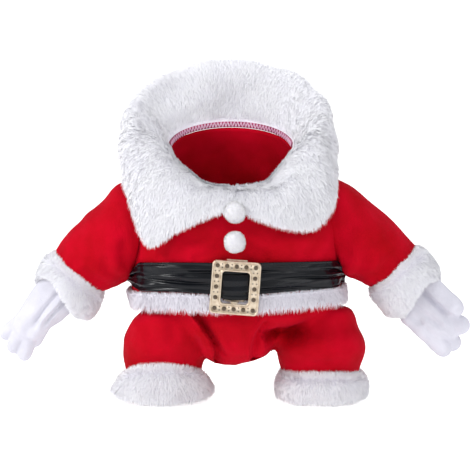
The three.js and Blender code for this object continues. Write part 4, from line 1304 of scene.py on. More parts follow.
@dataclass
class Trousers:
    """The trousers: the pouch between the legs, the legs' fronts and their backs, and the cuffs."""

    pads: Pads
    voxel: float = 1.9
    smoothing: int = 4
    thickness: float = 1.6
    crotch_height: float = 47.0
    side_height: float = 80.0
    pad_inset: float = 2.6
    pad_thickness: float = 2.4
    smallest_island: int = 400
    wall_share: float = 0.86

    ARCHES = {"left": 4.0, "right": 0.5}
    DROOPS = {"left": 6.0, "right": 1.0}
    CORNERS = {"left": 5.5, "right": 3.0}
    # Where the open back's lower edge runs on each leg: x at the crotch and at the side.
    SLOPES = {"left": (-26, -96), "right": (36, 108)}

    COLUMNS = "height halfWidth halfDepth shift back"
    PELVIS = Profile(COLUMNS, (
        (33.5, 5, 8, -5, -15), (35.5, 12, 16, -5, -14.5), (39.5, 21, 24, -3, -13.5), (46, 31, 33, -1, -12),
        (54, 39, 43, -1, -8), (64, 52, 52, -3, -4), (74, 74, 58, -1, -1), (84, 86.6, 59.5, 2.8, 0),
        (94, 87.6, 59.9, 2.4, 0), (104, 89.5, 60.1, 0.5, 0),
    ))
    LEGS = {
        "left": Profile(COLUMNS, (
            (22, 31.5, 30.5, -64, -1), (34, 34.5, 33.5, -63.8, -2), (46, 37.5, 36.5, -62, -4),
            (58, 39, 39, -60.3, -7), (70, 37, 39.5, -57.5, -10), (78, 33, 37, -55, -12),
            (84, 26, 29, -52, -13), (88, 12, 14, -50, -13),
        )),
        "right": Profile(COLUMNS, (
            (22, 32, 30.5, 74, -1), (34, 35.8, 33.5, 74, -2), (48, 39.4, 37.5, 74, -6), (58, 39, 38, 72, -5),
            (68, 37, 36, 69.5, -1), (78, 37, 35, 67, 1), (84, 34, 31, 66, 1), (88, 22, 22, 64, 1),
        )),
    }
    CUFFS = {
        "left": Profile(COLUMNS, (
            (0, 40, 36, -65, 0), (3, 44.5, 39.5, -65, 0), (11, 46, 41, -65, 0), (20, 43, 40, -64.6, -1),
            (27, 39, 37.5, -64.2, -2), (33.2, 35.8, 35, -63.9, -2),
        )),
        "right": Profile(COLUMNS, (
            (0, 36.5, 35, 75.5, -2), (3, 40, 38.5, 75.5, -2), (10, 42, 40.5, 75.5, -2),
            (19, 42, 40.5, 75.3, -2), (26, 38.4, 37, 74.8, -2), (29.7, 36.8, 35.6, 74.2, -2),
        )),
    }
    # The folds that lie deep between the legs and the pouch; these sink straight back.
    FOLDS = (
        Crease(((-43, 92), (-35.5, 80), (-28, 70), (-21, 60), (-19, 52), (-20, 38)), 13.0, 2.2, lip=0.35,
               falls=True, fade_in=0.15, fade_out=0.02),
        Crease(((-38, 74), (-30, 63), (-26, 53), (-27, 42)), -6.5, 5.0, lip=0.0, fade_out=0.1),
        Crease(((27, 84), (22, 75), (16, 65), (13.5, 55), (13, 38)), 10.0, 2.6, lip=0.3,
               falls=True, fade_in=0.2, fade_out=0.02),
        Crease(((22, 62), (34, 67), (50, 68), (68, 64)), 17.0, 9.0, lip=0.1, fade_in=0.1, fade_out=0.4),
        Crease(((33, 71), (33, 60), (31, 46)), 10.0, 7.0, lip=0.0, fade_in=0.2, fade_out=0.1),
        Crease(((-20, 62), (-13, 52), (-9, 44)), 3.5, 3.0, lip=0.4, fade_out=0.3),
    )
    CREASES = (
        Crease(((-86, 82), (-76, 70), (-72, 58)), 1.4, 6.0),
        Crease(((-60, 82), (-54, 68), (-56, 52)), 1.2, 6.0),
        Crease(((96, 78), (88, 64), (90, 48)), 1.3, 6.5),
        Crease(((-10, 80), (-4, 66), (-6, 52)), 1.1, 6.0),
        Crease(((-90, 44), (-74, 40), (-56, 42)), 1.0, 4.0),
        Crease(((58, 40), (76, 38), (94, 42)), 1.0, 4.0),
        Crease(((-76, 66), (-62, 58), (-50, 60)), 1.4, 6.0, Facing.BACK),
        Crease(((60, 58), (78, 52), (94, 58)), 1.4, 6.0, Facing.BACK),
    )

    def form(self) -> bpy.types.Object:
        """Fuses the pelvis and both legs into one skin."""
        parts = []
        for shape in (self.PELVIS, self.LEGS["left"], self.LEGS["right"]):
            hh, aa = np.meshgrid(np.linspace(shape.first, shape.last, 60), once_round(120), indexing="ij")
            parts.append(capped(stacked_surface(shape, hh, aa)))
        return remeshed(parts, self.voxel, self.smoothing, "trousers_cloth")

    def cloth(self) -> bpy.types.Object:
        """Creases the skin, opens it at the waist, the ankles and the back, and gives it thickness."""
        skin = self.form()
        flat = mesh_points(skin)
        normals = mesh_normals(skin)
        offset = undulation(flat, 44, 15) * 0.8 + undulation(flat, 16, 8) * 0.25
        offset = offset * smooth_step((88 - flat[:, 2]) / 14) - 0.2
        for crease in self.CREASES:
            offset = offset + crease.offsets(flat)
        offset = np.where(flat[:, 2] > 84, np.minimum(offset, 0.0), offset)
        moved = flat + normals * offset[:, None]
        facing = -normals[:, 1] + 0.5 * smooth_step((54 - flat[:, 2]) / 8)
        sunk = sum(fold.offsets(flat) for fold in self.FOLDS) * smooth_step((facing + 0.1) / 0.35)
        moved[:, 1] -= sunk * smooth_step((90 - flat[:, 2]) / 8)
        move_points(skin, moved)
        self._cut(skin)
        wall = skin.modifiers.new("cloth", "SOLIDIFY")
        wall.thickness = self.thickness * MM
        wall.offset = -1
        wall.use_rim = True
        return baked(skin, "trousers_cloth")

    def _cut(self, skin: bpy.types.Object) -> None:
        """Cuts the skin along its edges and removes what isn't cloth."""
        work = bmesh.new()
        work.from_mesh(skin.data)
        bmesh.ops.remove_doubles(work, verts=work.verts, dist=0.0001 * MM)

        def split(at: tuple[float, float, float], normal: tuple[float, float, float]) -> None:
            """Cuts all the faces along a plane through a drawing point."""
            spot = to_frame(np.array(at))[0]
            everything = work.verts[:] + work.edges[:] + work.faces[:]
            bmesh.ops.bisect_plane(work, geom=everything, plane_co=spot.tolist(), plane_no=normal, dist=1e-7)

        split((0, 0, WAIST_HEIGHT), (0, 0, 1))
        split((0, SIDE_SEAM_DEPTH, 0), (0, 1, 0))
        for height in ANKLE_HEIGHTS.values():
            split((0, 0, height), (0, 0, 1))
        for crotch_x, side_x in self.SLOPES.values():
            slope = (self.side_height - self.crotch_height) / (side_x - crotch_x)
            split((crotch_x, 0, self.crotch_height), (-slope, 0, 1))

        def kept(x: float, y: float, h: float) -> bool:
            """Whether a face with its middle there is cloth."""
            side = "left" if x < 5 else "right"
            if h > WAIST_HEIGHT or h < ANKLE_HEIGHTS[side]:
                return False
            if y < SIDE_SEAM_DEPTH:
                return True
            crotch_x, side_x = self.SLOPES[side]
            slope = (self.side_height - self.crotch_height) / (side_x - crotch_x)
            if h > self.crotch_height + slope * (x - crotch_x):
                return False
            read = self.LEGS[side].at
            across = (x - float(read("shift", h))) / float(read("halfWidth", h))
            deep = (y - float(read("back", h))) / float(read("halfDepth", h))
            reach = (abs(across) ** LEG_SQUARE + abs(deep) ** LEG_SQUARE) ** (1 / LEG_SQUARE)
            return reach > self.wall_share

        gone = [f for f in work.faces if not kept(*(np.array(f.calc_center_median()) / MM - FRAME_SHIFT))]
        bmesh.ops.delete(work, geom=gone, context="FACES")
        small = [f for island in face_islands(work) if len(island) < self.smallest_island for f in island]
        bmesh.ops.delete(work, geom=small, context="FACES")
        work.to_mesh(skin.data)
        work.free()

    def build(self) -> None:
        """Builds the trousers and their cuffs."""
        nodes = ("trouser_front_left", "trouser_front_right", "leg_back_left", "leg_back_right")
        cloth = Piece(self.cloth(), Slot.VELOUR, nodes).declare(RED_VELOUR)
        cloth.data.polygons.foreach_set("use_smooth", np.ones(len(cloth.data.polygons), bool))
        for side in ("left", "right"):
            pile = Pile(density=2.5, length=4.6, lean=1.2, seed=41 if side == "left" else 42)
            pad, fur = ring_pad(self.pads, f"leg_cuff_{side}", self.CUFFS[side], stacked_surface, pile,
                                self.pad_inset, self.pad_thickness, flip=True, arch=self.ARCHES[side],
                                droop=self.DROOPS[side], corner=self.CORNERS[side])
            declare_plush(pad, fur, f"leg_cuff_{side}")


def face_islands(work: bmesh.types.BMesh) -> list[list[bmesh.types.BMFace]]:
    """Lists the connected groups of a bmesh's faces."""
    seen: set[int] = set()
    islands = []
    work.faces.ensure_lookup_table()
    for face in work.faces:
        if face.index in seen:
            continue
        stack, island = [face], []
        seen.add(face.index)
        while stack:
            here = stack.pop()
            island.append(here)
            for edge in here.edges:
                for other in edge.link_faces:
                    if other.index not in seen:
                        seen.add(other.index)
                        stack.append(other)
        islands.append(island)
    return islands


@dataclass
class Waist:
    """The belt and the plush trim under it, which dip behind the buckle."""

    jacket: Jacket
    pads: Pads
    buckle_x: float = -0.7
    buckle_height: float = 109.2
    rise: float = 3.4
    dip: float = 4.6
    half_width: float = 16.0
    belt_low: float = 102.4
    belt_high: float = 130.4
    belt_thickness: float = 2.6
    pinch_height: float = 113.0
    pinch_left: float = 0.72
    pinch_right: float = 0.35
    belt_lift: tuple[float, float] = (3.8, 1.2)
    trim_middle: float = 95.6
    trim_half: float = 5.0
    trim_lift: tuple[float, float] = (3.2, 4.2)
    sag: float = 46.0
    around: int = 420

    # A crease along the belt: height, how far it wanders, waves round the belt, phase, depth, width.
    BELT_CREASES = (
        (105.8, 0.9, 3, 0.4, 1.2, 1.0), (110.0, 1.4, 2, 2.2, -1.4, 1.9), (113.6, 1.6, 3, 4.0, 1.9, 1.3),
        (117.4, 1.4, 2, 1.1, -1.5, 2.0), (121.2, 1.8, 3, 5.2, 1.9, 1.4), (125.4, 1.0, 2, 0.9, -1.2, 1.6),
        (128.0, 0.6, 3, 2.4, 0.8, 0.9),
    )

    def beside(self, angle: np.ndarray) -> np.ndarray:
        """Gives how far to the right of the buckle's middle each angle lies."""
        return self.jacket.point(angle, np.full_like(angle, self.buckle_height))[..., 0] - self.buckle_x

    def near_buckle(self, angle: np.ndarray) -> np.ndarray:
        """Gives 1 behind the buckle and 0 away from it."""
        x = self.beside(angle)
        return np.where(np.sin(angle) < 0, bell(x, self.half_width, 4), 0.0)

    def aside(self, angle: np.ndarray) -> np.ndarray:
        """Gives 0 behind the buckle and 1 well beside it, where the belt and the trim lie higher."""
        x = self.beside(angle)
        return np.where(np.sin(angle) < 0, 1 - bell(x, self.sag), 1.0)

    def belt(self) -> bpy.types.Object:
        """Builds the belt, with the creases that run along it."""
        middle = (self.belt_low + self.belt_high) / 2
        reach = (self.belt_high - self.belt_low) / 2
        front, back = np.linspace(-0.97, 0.97, 72), np.linspace(0.97, -0.97, 12)
        height = middle + reach * np.concatenate([front, (1, 1), back, (-1, -1)])
        outer = np.concatenate([0 * front + 1, (0.75, 0.25), 0 * back, (0.25, 0.75)])
        angle = once_round(self.around)
        hh, aa = np.meshgrid(height, angle, indexing="ij")
        crumple = np.zeros_like(hh)
        for level, wander, waves, phase, depth, width in self.BELT_CREASES:
            line = level + wander * np.sin(waves * aa + phase) + 0.5 * wander * np.sin(5 * aa + 2 * phase)
            strength = 0.6 + 0.4 * np.sin((waves + 2) * aa + 3 * phase)
            crumple -= depth * strength * bell(hh - line, width)
        crumple += undulation(np.stack([aa * 90, hh * 2.2, 0 * hh], axis=-1), 22, 5) * 0.35
        side = np.abs(np.cos(aa)) ** 6
        pinch = undulation(np.stack([aa * 90, hh * 0.4, 0 * hh], axis=-1), 11, 5) * 0.6
        out = outer[:, None] * (self.belt_thickness + crumple + side * pinch)
        near = self.near_buckle(aa)
        dips = np.interp(hh, (self.belt_low, 120.5, self.belt_high), (1.0, 0.2, 0.0))
        out = np.maximum(out, 0.9 * outer[:, None]) * (1 - 0.35 * near) + SEAM_GAP + near * self.rise
        left = self.pinch_left * smooth_step((-np.cos(aa) - 0.86) / 0.14)
        right = self.pinch_right * smooth_step((np.cos(aa) - 0.9) / 0.1)
        hh = hh + (self.pinch_height - hh) * (left + right)
        lift = np.interp(hh, (self.belt_low, self.belt_high), self.belt_lift) * self.aside(aa)
        grid = self.jacket.point(aa, hh + lift - dips * near * self.dip, out)
        return make_band("belt_strap", grid)

    def trim(self) -> tuple[bpy.types.Object, bpy.types.Object]:
        """Builds the trim's pad and its pile."""
        turn = once_round(36)
        height = self.trim_middle + self.trim_half * signed_power(np.sin(turn), 0.5)
        level = signed_power(np.cos(turn), 0.5)
        hh, aa = np.meshgrid(height, once_round(300), indexing="ij")
        near = self.near_buckle(aa)
        out = 0.4 + 1.5 * (1 + level[:, None]) + 0.4 * np.sin(9 * aa + 2 * np.sin(2 * aa))
        dips = smooth_step((hh - 86) / 14)
        rise = np.where(np.cos(aa) < 0, *self.trim_lift) * self.aside(aa)
        grid = self.jacket.point(aa, hh - dips * near * self.dip + rise, np.maximum(out, 0.3))
        pad = make_band("hem_trim_pad", grid)
        share = np.broadcast_to(smooth_step((level + 0.55) / 0.5)[:, None], hh.shape)
        comb = np.zeros(grid.shape)
        comb[..., 2] = np.interp(hh, (91, 98.5, 100.6), (-1.3, -0.8, 0.9))
        length = np.interp(hh, (91, 93.5, 96, 100.6), (1.55, 1.1, 0.9, 0.5)) * (1 - 0.35 * near)
        self.pads.mark(pad, share, length, comb)
        pile = Pile(density=2.3, length=4.8, lean=1.2, clump=1.3, clump_size=4.0, ruffle=0.3, seed=51)
        return pad, self.pads.plant(pad, "hem_trim_pile", pile, TRIM_PILE)

    def build(self) -> None:
        """Builds the belt and the trim."""
        belt = Piece(self.belt(), Slot.LEATHERETTE, ("belt",)).declare(BLACK_LEATHERETTE)
        pad, pile = self.trim()
        declare_plush(pad, pile, "hem_trim")


def rounded_rectangle(width: float, height: float, corner: float) -> np.ndarray:
    """Gives the points of a rectangle with round corners, in the same number for any size."""
    corner_steps, side_steps = 8, 10
    x, y = width / 2 - corner, height / 2 - corner
    points = []
    for k, (cx, cy) in enumerate(((x, y), (-x, y), (-x, -y), (x, -y))):
        for angle in np.linspace(0, math.pi / 2, corner_steps, endpoint=False) + k * math.pi / 2:
            points.append((cx + corner * math.cos(angle), cy + corner * math.sin(angle)))
        next_x, next_y = ((-x, y), (-x, -y), (x, -y), (x, y))[k]
        end = (k + 1) * math.pi / 2
        a = np.array([cx + corner * math.cos(end), cy + corner * math.sin(end)])
        b = np.array([next_x + corner * math.cos(end), next_y + corner * math.sin(end)])
        points += [tuple(a + (b - a) * s) for s in np.linspace(0, 1, side_steps, endpoint=False)]
    return np.array(points)


@dataclass
class Buckle:
    """The buckle: its frame with raised rims, the bar behind the belt, and its stones."""

    jacket: Jacket
    waist: Waist
    width: float = 42.8
    height: float = 46.8
    window_width: float = 24.0
    window_height: float = 28.0
    corner: float = 4.0
    turn_degrees: float = 4.3
    bar_half: float = 9.0
    bar_thickness: float = 1.6
    bar_shows: float = 0.7
    stone_half: float = 1.9
    stone_rise: float = 1.3
    bevel_width: float = 0.25
    # The heights where the belt and the trim come furthest forward, and how far past their sizes.
    belt_crest: tuple[float, float] = (116.0, 0.9)
    trim_crest: tuple[float, float] = (94.0, 6.0)

    # Across the frame from the window to the outer edge: share of the way, and height.
    SECTION = ((0, 0), (0, 1.9), (0.02, 2.6), (0.06, 2.95), (0.11, 2.95), (0.155, 2.6), (0.175, 1.8),
               (0.2, 1.55), (0.5, 1.5), (0.8, 1.55), (0.825, 1.8), (0.845, 2.6), (0.89, 2.95), (0.94, 2.95),
               (0.98, 2.6), (1, 1.9), (1, 0))

    def back(self) -> float:
        """Gives the depth of the frame's back face, clear of the belt and the trim."""
        (belt_height, belt_swell), (trim_height, trim_reach) = self.belt_crest, self.trim_crest
        waist, front_at = self.waist, self.jacket.front_at
        belt_front = front_at(belt_height) - waist.rise - waist.belt_thickness - belt_swell
        return min(belt_front, front_at(trim_height) - trim_reach) - 2 * SEAM_GAP

    def place(self, flat: np.ndarray, forward: np.ndarray | float) -> np.ndarray:
        """Places points of the buckle's own plane on the suit.

        Args:
            flat: Points to the right and up from the buckle's middle.
            forward: How far in front of its back face.

        Returns:
            Points in the drawing.
        """
        turn = math.radians(self.turn_degrees)
        u, v = flat[..., 0], flat[..., 1]
        x = self.waist.buckle_x + u * math.cos(turn) + v * math.sin(turn)
        h = self.waist.buckle_height - u * math.sin(turn) + v * math.cos(turn)
        return np.stack([x, self.back() - forward + 0 * x, h], axis=-1)

    def frame_mesh(self) -> bpy.types.Object:
        """Builds the frame with its raised rims, and the bar with its two posts."""
        outer = rounded_rectangle(self.width, self.height, self.corner)
        inner = rounded_rectangle(self.window_width, self.window_height, 3.0)
        grid = np.stack([self.place(inner + (outer - inner) * share, rise) for share, rise in self.SECTION])
        parts = [(grid.reshape(-1, 3), grid_faces(len(grid), len(outer), True, True))]
        box = np.array([(0, 1, 3, 2), (5, 4, 6, 7), (4, 0, 2, 6), (1, 5, 7, 3), (2, 3, 7, 6), (4, 5, 1, 0)])
        for low, high, near, far in self._bar_boxes():
            corners = np.array([(a, b) for b in (low[1], high[1]) for a in (low[0], high[0])])
            parts.append((np.concatenate([self.place(corners, near), self.place(corners, far)]), box))
        parts = [(points, outward(points, faces)) for points, faces in parts]
        obj = make_mesh("buckle_frame", *joined(parts), closed=False)
        bevel = obj.modifiers.new("edges", "BEVEL")
        bevel.width = self.bevel_width * MM
        bevel.segments = 2
        bevel.limit_method = "ANGLE"
        bevel.angle_limit = math.radians(50)
        return baked(obj, "buckle_frame")

    def _bar_boxes(self) -> list[tuple[tuple[float, float], tuple[float, float], float, float]]:
        """Lists the bar and its posts: lower left, upper right, and how far forward each face is."""
        bar_back = self.back() - (self.jacket.front_at(133) - SEAM_GAP)
        bar_front = bar_back + self.bar_thickness
        top = self.height / 2 + self.bar_shows
        low = self.waist.belt_low - self.waist.dip - 3 * SEAM_GAP - self.waist.buckle_height
        high = self.waist.belt_high + 3 * SEAM_GAP - self.waist.buckle_height
        return [
            ((-self.bar_half, low - 5), (self.bar_half, top), bar_front, bar_back),
            ((-3, high), (3, top - 1.6), 0.5, bar_back),
            ((-3, low - 5), (3, low), 0.5, bar_back),
        ]

    def band_middle(self) -> np.ndarray:
        """Gives how far right and up the middle of the frame's band lies."""
        return np.array([self.width + self.window_width, self.height + self.window_height]) / 4

    def stones(self) -> np.ndarray:
        """Gives the middles of the sixteen stones round the frame."""
        x, y = self.band_middle()
        steps = np.linspace(-1, 1, 5)
        return np.array([(a * x, b * y) for a in steps for b in steps if max(abs(a), abs(b)) > 0.99])

    def dots(self, middles: np.ndarray) -> np.ndarray:
        """Gives the pairs of pierced dots between neighbouring stones."""
        x, y = self.band_middle()
        dots = []
        for middle in middles:
            along = np.array([x / 4, 0]) if abs(abs(middle[1]) - y) < 0.01 else np.array([0, y / 4])
            across = along[::-1] * 0.36
            spot = middle + along
            if np.all(np.abs(spot) <= np.array([x, y]) + 0.1):
                dots += [spot - across, spot + across]
        return np.array(dots)

    def stone_meshes(self) -> list[bpy.types.Object]:
        """Plants the stones, the beads that hold them and the pierced dots between them."""
        stones = self.stones()
        beads = [stones + np.array([a, b]) * self.stone_half for a in (-1, 1) for b in (-1, 1)]
        tree = SettingTree()
        # Name, feet and their height on the frame, then radius, rise, turn, table and finish.
        return [tree.plant(self.place(feet, height), name, *values) for name, feet, height, values in (
            ("buckle_stones", stones, 1.5,
             (self.stone_half * 1.1, self.stone_rise, self.turn_degrees, 0.6, DARK_STONE)),
            ("buckle_beads", np.concatenate(beads), 1.5, (0.45, 1.25, 0.0, 0.45, PALE_GOLD)),
            ("buckle_dots", self.dots(stones), 1.45, (0.6, 0.22, 0.0, 0.9, PIERCED)))]

    def build(self) -> None:
        """Builds the frame and what is set in it."""
        Piece(self.frame_mesh(), Slot.GOLD, ("buckle",)).declare(PALE_GOLD)
        for obj in self.stone_meshes():
            Piece(obj, Slot.GOLD).declare()


class SettingTree(GrowthTree):
    """The tree that sets one small stud on each of a mesh's points, facing forwards."""

    TITLE = "set studs"
    INPUTS = {"Radius": "Float", "Rise": "Float", "Turn": "Float", "Table": "Float"}

    def planting(self) -> Feeds:
        """Makes the stud, eight-sided with a flat table, and turns it forwards."""
        given = self.given
        table = self.math("MULTIPLY", given["Radius"], given["Table"])
        cut = self.add("GeometryNodeMeshCone", {
            "Vertices": 8, "Side Segments": 2, "Radius Top": table, "Radius Bottom": given["Radius"],
            "Depth": given["Rise"]}, fill_type="NGON").outputs["Mesh"]
        euler = self.combined(math.pi / 2, given["Turn"], 0.0)
        turn = self.add("FunctionNodeEulerToRotation", {"Euler": euler})
        return {"Points": given["Geometry"], "Instance": cut, "Rotation": turn.outputs["Rotation"]}

    def plant(self, points: np.ndarray, name: str, radius: float, rise: float, turn: float, table: float,
              finish: Finish) -> bpy.types.Object:
        """Sets studs on points.

        Args:
            points: The studs' feet, in the drawing.
            name: The new object's name.
            radius: A stud's foot, to its corners.
            rise: How far it stands forward.
            turn: How far it is turned in its plane, in degrees.
            table: Its top's share of its foot.
            finish: What it is made of.

        Returns:
            The studs as a plain mesh.
        """
        host = make_mesh(f"{name}_feet", points, np.zeros((0, 3), int), closed=False)
        return self.grown(host, name, {"Radius": radius * MM, "Rise": rise * MM, "Turn": math.radians(turn),
                                       "Table": table, "Material": finish.material()})


@dataclass
class Pompoms:
    """The two trimmed balls down the front."""

    jacket: Jacket
    pads: Pads
    radius: float = 10.0
    core: float = 9.2
    middle_x: float = -1.0

    PLACES = {"upper": 175.2, "lower": 149.5}

    def build(self) -> None:
        """Builds each ball's core and its short dense pile."""
        for index, (word, height) in enumerate(self.PLACES.items()):
            bpy.ops.mesh.primitive_ico_sphere_add(subdivisions=4, radius=1)
            ball = bpy.context.object
            out = np.array([v.co[:] for v in ball.data.vertices])
            depth = self.jacket.front_at(height) - SEAM_GAP - self.radius
            centre = np.array([self.middle_x, depth, height])
            lumpy = self.core + 0.25 * undulation(out * 9, 9, 60 + index)
            core = make_mesh(f"pompom_{word}_core", centre + out * lumpy[:, None],
                             np.array([p.vertices[:] for p in ball.data.polygons]))
            bpy.data.objects.remove(ball)
            self.pads.mark(core, np.ones(len(out)), np.ones(len(out)), out)
            pile = self.pads.plant(core, f"pompom_{word}_pile", Pile(
                density=2.6, length=1.3, width=0.5, lean=0.0, clump=0.4, clump_size=3.0, ruffle=1.1, bend=0.4,
                seed=61 + index), BALL_PILE)
            declare_plush(core, pile, f"pompom_{word}")


@dataclass
class Collar:
    """The collar: a plush strip that stands off the neck seam, rolls over and falls to its edge."""

    jacket: Jacket
    pads: Pads
    round_steps: int = 230
    across_steps: int = 52
    half: float = 1.1
    clearance: float = 2.2
    edge: float = 0.98
    seed: int = 71

    SHAPE = Profile("at standX standY standZ rollX rollY rollZ edgeX edgeY edgeZ", (
        (0.004, -0.5, -51, 200, -0.2, -65.5, 196, -1.0, -68, 180),
        (0.05, -18, -50, 204, -22, -68, 199, -23, -69, 173),
        (0.1, -34, -46, 216, -46, -68, 209, -52, -67, 158),
        (0.145, -50, -36, 232, -72, -62, 228, -76, -58, 143.5),
        (0.19, -60, -22, 248, -93, -42, 246, -91, -46, 174),
        (0.24, -64, -5, 253, -100.5, -12, 260, -98, -16, 205),
        (0.3, -62, 14, 258, -101, 14, 276, -99, 14, 224),
        (0.36, -52, 32, 262, -91, 42, 297, -95, 44, 243),
        (0.43, -28, 45, 266, -50, 60, 319, -62, 75, 262),
        (0.5, -3, 49, 268, -3, 60, 328, -3, 84, 268),
        (0.57, 22, 45, 266, 42, 60, 318.5, 54, 75, 262),
        (0.64, 43, 32, 262, 77, 42, 293, 81, 44, 242),
        (0.7, 53, 14, 258, 85.5, 14, 273, 84.5, 14, 222),
        (0.76, 55, -5, 253, 86.5, -12, 260, 85.5, -16, 204),
        (0.81, 51, -22, 248, 81.5, -42, 246, 83.5, -46, 178),
        (0.855, 42, -36, 232, 64, -62, 230, 70, -61, 160),
        (0.9, 30, -46, 215, 43, -68, 208, 48, -68, 161),
        (0.95, 16, -50, 203, 22, -68, 198, 23, -69, 169),
        (0.996, -0.2, -51, 200, -1.2, -67, 196, 0.2, -68, 180),
    ))
    # A dent across the strip: share round, share across, sizes both ways, and depth in millimetres.
    DENTS = (
        (0.34, 0.34, 0.07, 0.28, 4.5), (0.24, 0.42, 0.035, 0.2, 4.0), (0.2, 0.62, 0.022, 0.25, 3.0),
        (0.31, 0.3, 0.03, 0.25, 3.5), (0.4, 0.32, 0.035, 0.3, 3.0), (0.47, 0.55, 0.03, 0.25, -2.0),
        (0.62, 0.3, 0.03, 0.25, 3.0),
        (0.7, 0.38, 0.03, 0.2, 3.5), (0.76, 0.6, 0.025, 0.3, 2.5), (0.12, 0.6, 0.02, 0.3, 1.8),
        (0.86, 0.6, 0.02, 0.35, 2.2), (0.55, 0.75, 0.03, 0.2, 2.0), (0.35, 0.8, 0.03, 0.2, 2.0),
    )
    # Where the rolled crest lies lower than the solid's: share round, its reach, millimetres.
    CREST_DIPS = ((0.0, 0.04, 1.5), (0.095, 0.04, 4.0), (0.905, 0.035, 5.5), (1.0, 0.04, 1.5),
                  (0.4, 0.05, -4.5), (0.47, 0.04, -4.0), (0.53, 0.05, -2.5))

    def middle(self, at: np.ndarray, across: np.ndarray) -> Grid:
        """Gives points on the strip's middle surface, by shares round the neck and across."""
        read = self.SHAPE.at
        neck = self.jacket.point(-math.pi / 2 - at * 2 * math.pi, np.full_like(at, NECK_HEIGHT), -1.0)
        neck[..., 2] += SEAM_GAP
        stand, roll, edge = (np.stack([read(f"{word}{axis}", at) for axis in "XYZ"], axis=-1)
                             for word in ("stand", "roll", "edge"))
        s = across[..., None]
        return (1 - s) ** 3 * neck + 3 * s * (1 - s) ** 2 * stand + 3 * s**2 * (1 - s) * roll + s**3 * edge

    def strip(self) -> tuple[Grid, np.ndarray, np.ndarray]:
        """Gives the strip's middle surface with its dents, clear of the jacket, and its shares."""
        at, across = np.meshgrid(np.linspace(0.004, 0.996, self.round_steps),
                                 np.linspace(0, self.edge, self.across_steps), indexing="xy")
        grid = self.middle(at, across)
        crest = smooth_step(across / 0.2) * smooth_step((0.8 - across) / 0.4)
        for share, wide, drop in self.CREST_DIPS:
            grid[..., 2] -= drop * crest * bell(at - share, wide)
        normals = grid_normals(grid)
        dent = np.zeros(at.shape)
        for share, reach, wide, tall, depth in self.DENTS:
            dent += depth * np.exp(-(((at - share) / wide) ** 2) - ((across - reach) / tall) ** 2)
        soft = undulation(grid, 34, self.seed) * 1.1 * smooth_step(across / 0.2)
        loose = smooth_step(across / 0.12)
        grid = grid - normals * (dent * loose - soft)[..., None]
        return self._cleared(grid, across), at, across

    def _cleared(self, grid: Grid, across: np.ndarray) -> Grid:
        """Moves points that would lie in the jacket out of it."""
        for _ in range(2):
            reach = self.jacket.reach(grid)
            short = np.clip(1 + self.clearance / 60 - reach, 0, 0.2) * smooth_step(across / 0.06)
            grid = grid + grid * np.array([1.0, 1.0, 0.0]) * short[..., None]
        return grid

    def build(self, sleeve_trees: Sequence[BVHTree]) -> None:
        """Builds the pad and plants both its faces, in two halves each.

        Args:
            sleeve_trees: The sleeves' skins, which the collar is kept clear of.
        """
        grid, at, across = self.strip()
        grid = pushed_clear(grid, sleeve_trees, self.clearance)
        normals = grid_normals(grid)
        thin = self.half * (0.35 + 0.65 * smooth_step(across / 0.15))[..., None]
        pad = make_shell("collar_pad", grid + normals * thin, grid - normals * thin, False)
        flow = unit(np.gradient(grid, axis=0))
        behind = (at > 0.24) & (at < 0.76)
        face = np.where(behind, smooth_step((across - 0.055) / 0.02), 1.0)
        crest = ~behind * bell(across - 0.25, 0.15)
        face = face * (1 + 0.7 * crest)
        under = 0.4 * smooth_step((across - 0.1) / 0.1)
        under = np.maximum(under, smooth_step((across - self.edge + 0.06) / 0.05))
        length = np.interp(across, (0, 0.08, 0.25, 0.88, self.edge), (0.5, 0.75, 0.95, 1.0, 1.15))
        lengths = np.concatenate([length.ravel(), 0.85 * length.ravel()])
        comb = np.concatenate([(flow * (1 + 0.6 * crest)[..., None]).reshape(-1, 3), flow.reshape(-1, 3)])
        none = np.zeros(face.size)
        piles = []
        for index, (side, half) in enumerate((("left", at <= 0.5), ("right", at >= 0.5))):
            for word, share in (("face", (face * half, none)), ("underside", (none, under * half))):
                self.pads.mark(pad, np.concatenate([part.ravel() for part in share]), lengths, comb)
                seed = self.seed + index + (10 if word == "underside" else 0)
                piles.append(self.pads.plant(pad, f"collar_{word}_pile_{side}", Pile(
                    density=2.4, length=5.6, width=0.62, lean=1.4, clump=1.1, clump_size=7.0, seed=seed)))
        Piece(pad, Slot.PLUSH, ("collar_left", "collar_right")).declare(PLUSH_BACKING)
        for pile in piles:
            Piece(pile, Slot.PLUSH).declare()


def pushed_clear(grid: Grid, trees: Sequence[BVHTree], clearance: float, search: float = 14.0) -> Grid:
    """Moves a grid's points out of other pieces' skins.

    Args:
        grid: The points, in the drawing.
        trees: Each piece's skin, in the drawing.
        clearance: How far out they are kept.
        search: How far from a skin its points are looked at.

    Returns:
        The moved points.
    """
    flat = grid.reshape(-1, 3).copy()
    for tree in trees:
        for index, point in enumerate(flat):
            spot, normal, _, _ = tree.find_nearest(point.tolist(), search)
            if spot is None:
                continue
            normal = np.array(normal)
            height = float((point - np.array(spot)) @ normal)
            if height < clearance:
                flat[index] = point + normal * (clearance - height)
    return flat.reshape(grid.shape)


def skin_tree(obj: bpy.types.Object) -> BVHTree:
    """Makes a search tree of a thin wall's outer face, which is the first half of its points."""
    points = mesh_points(obj)
    half = len(points) // 2
    faces = [tuple(p.vertices) for p in obj.data.polygons if max(p.vertices) < half]
    return BVHTree.FromPolygons(points[:half].tolist(), faces)


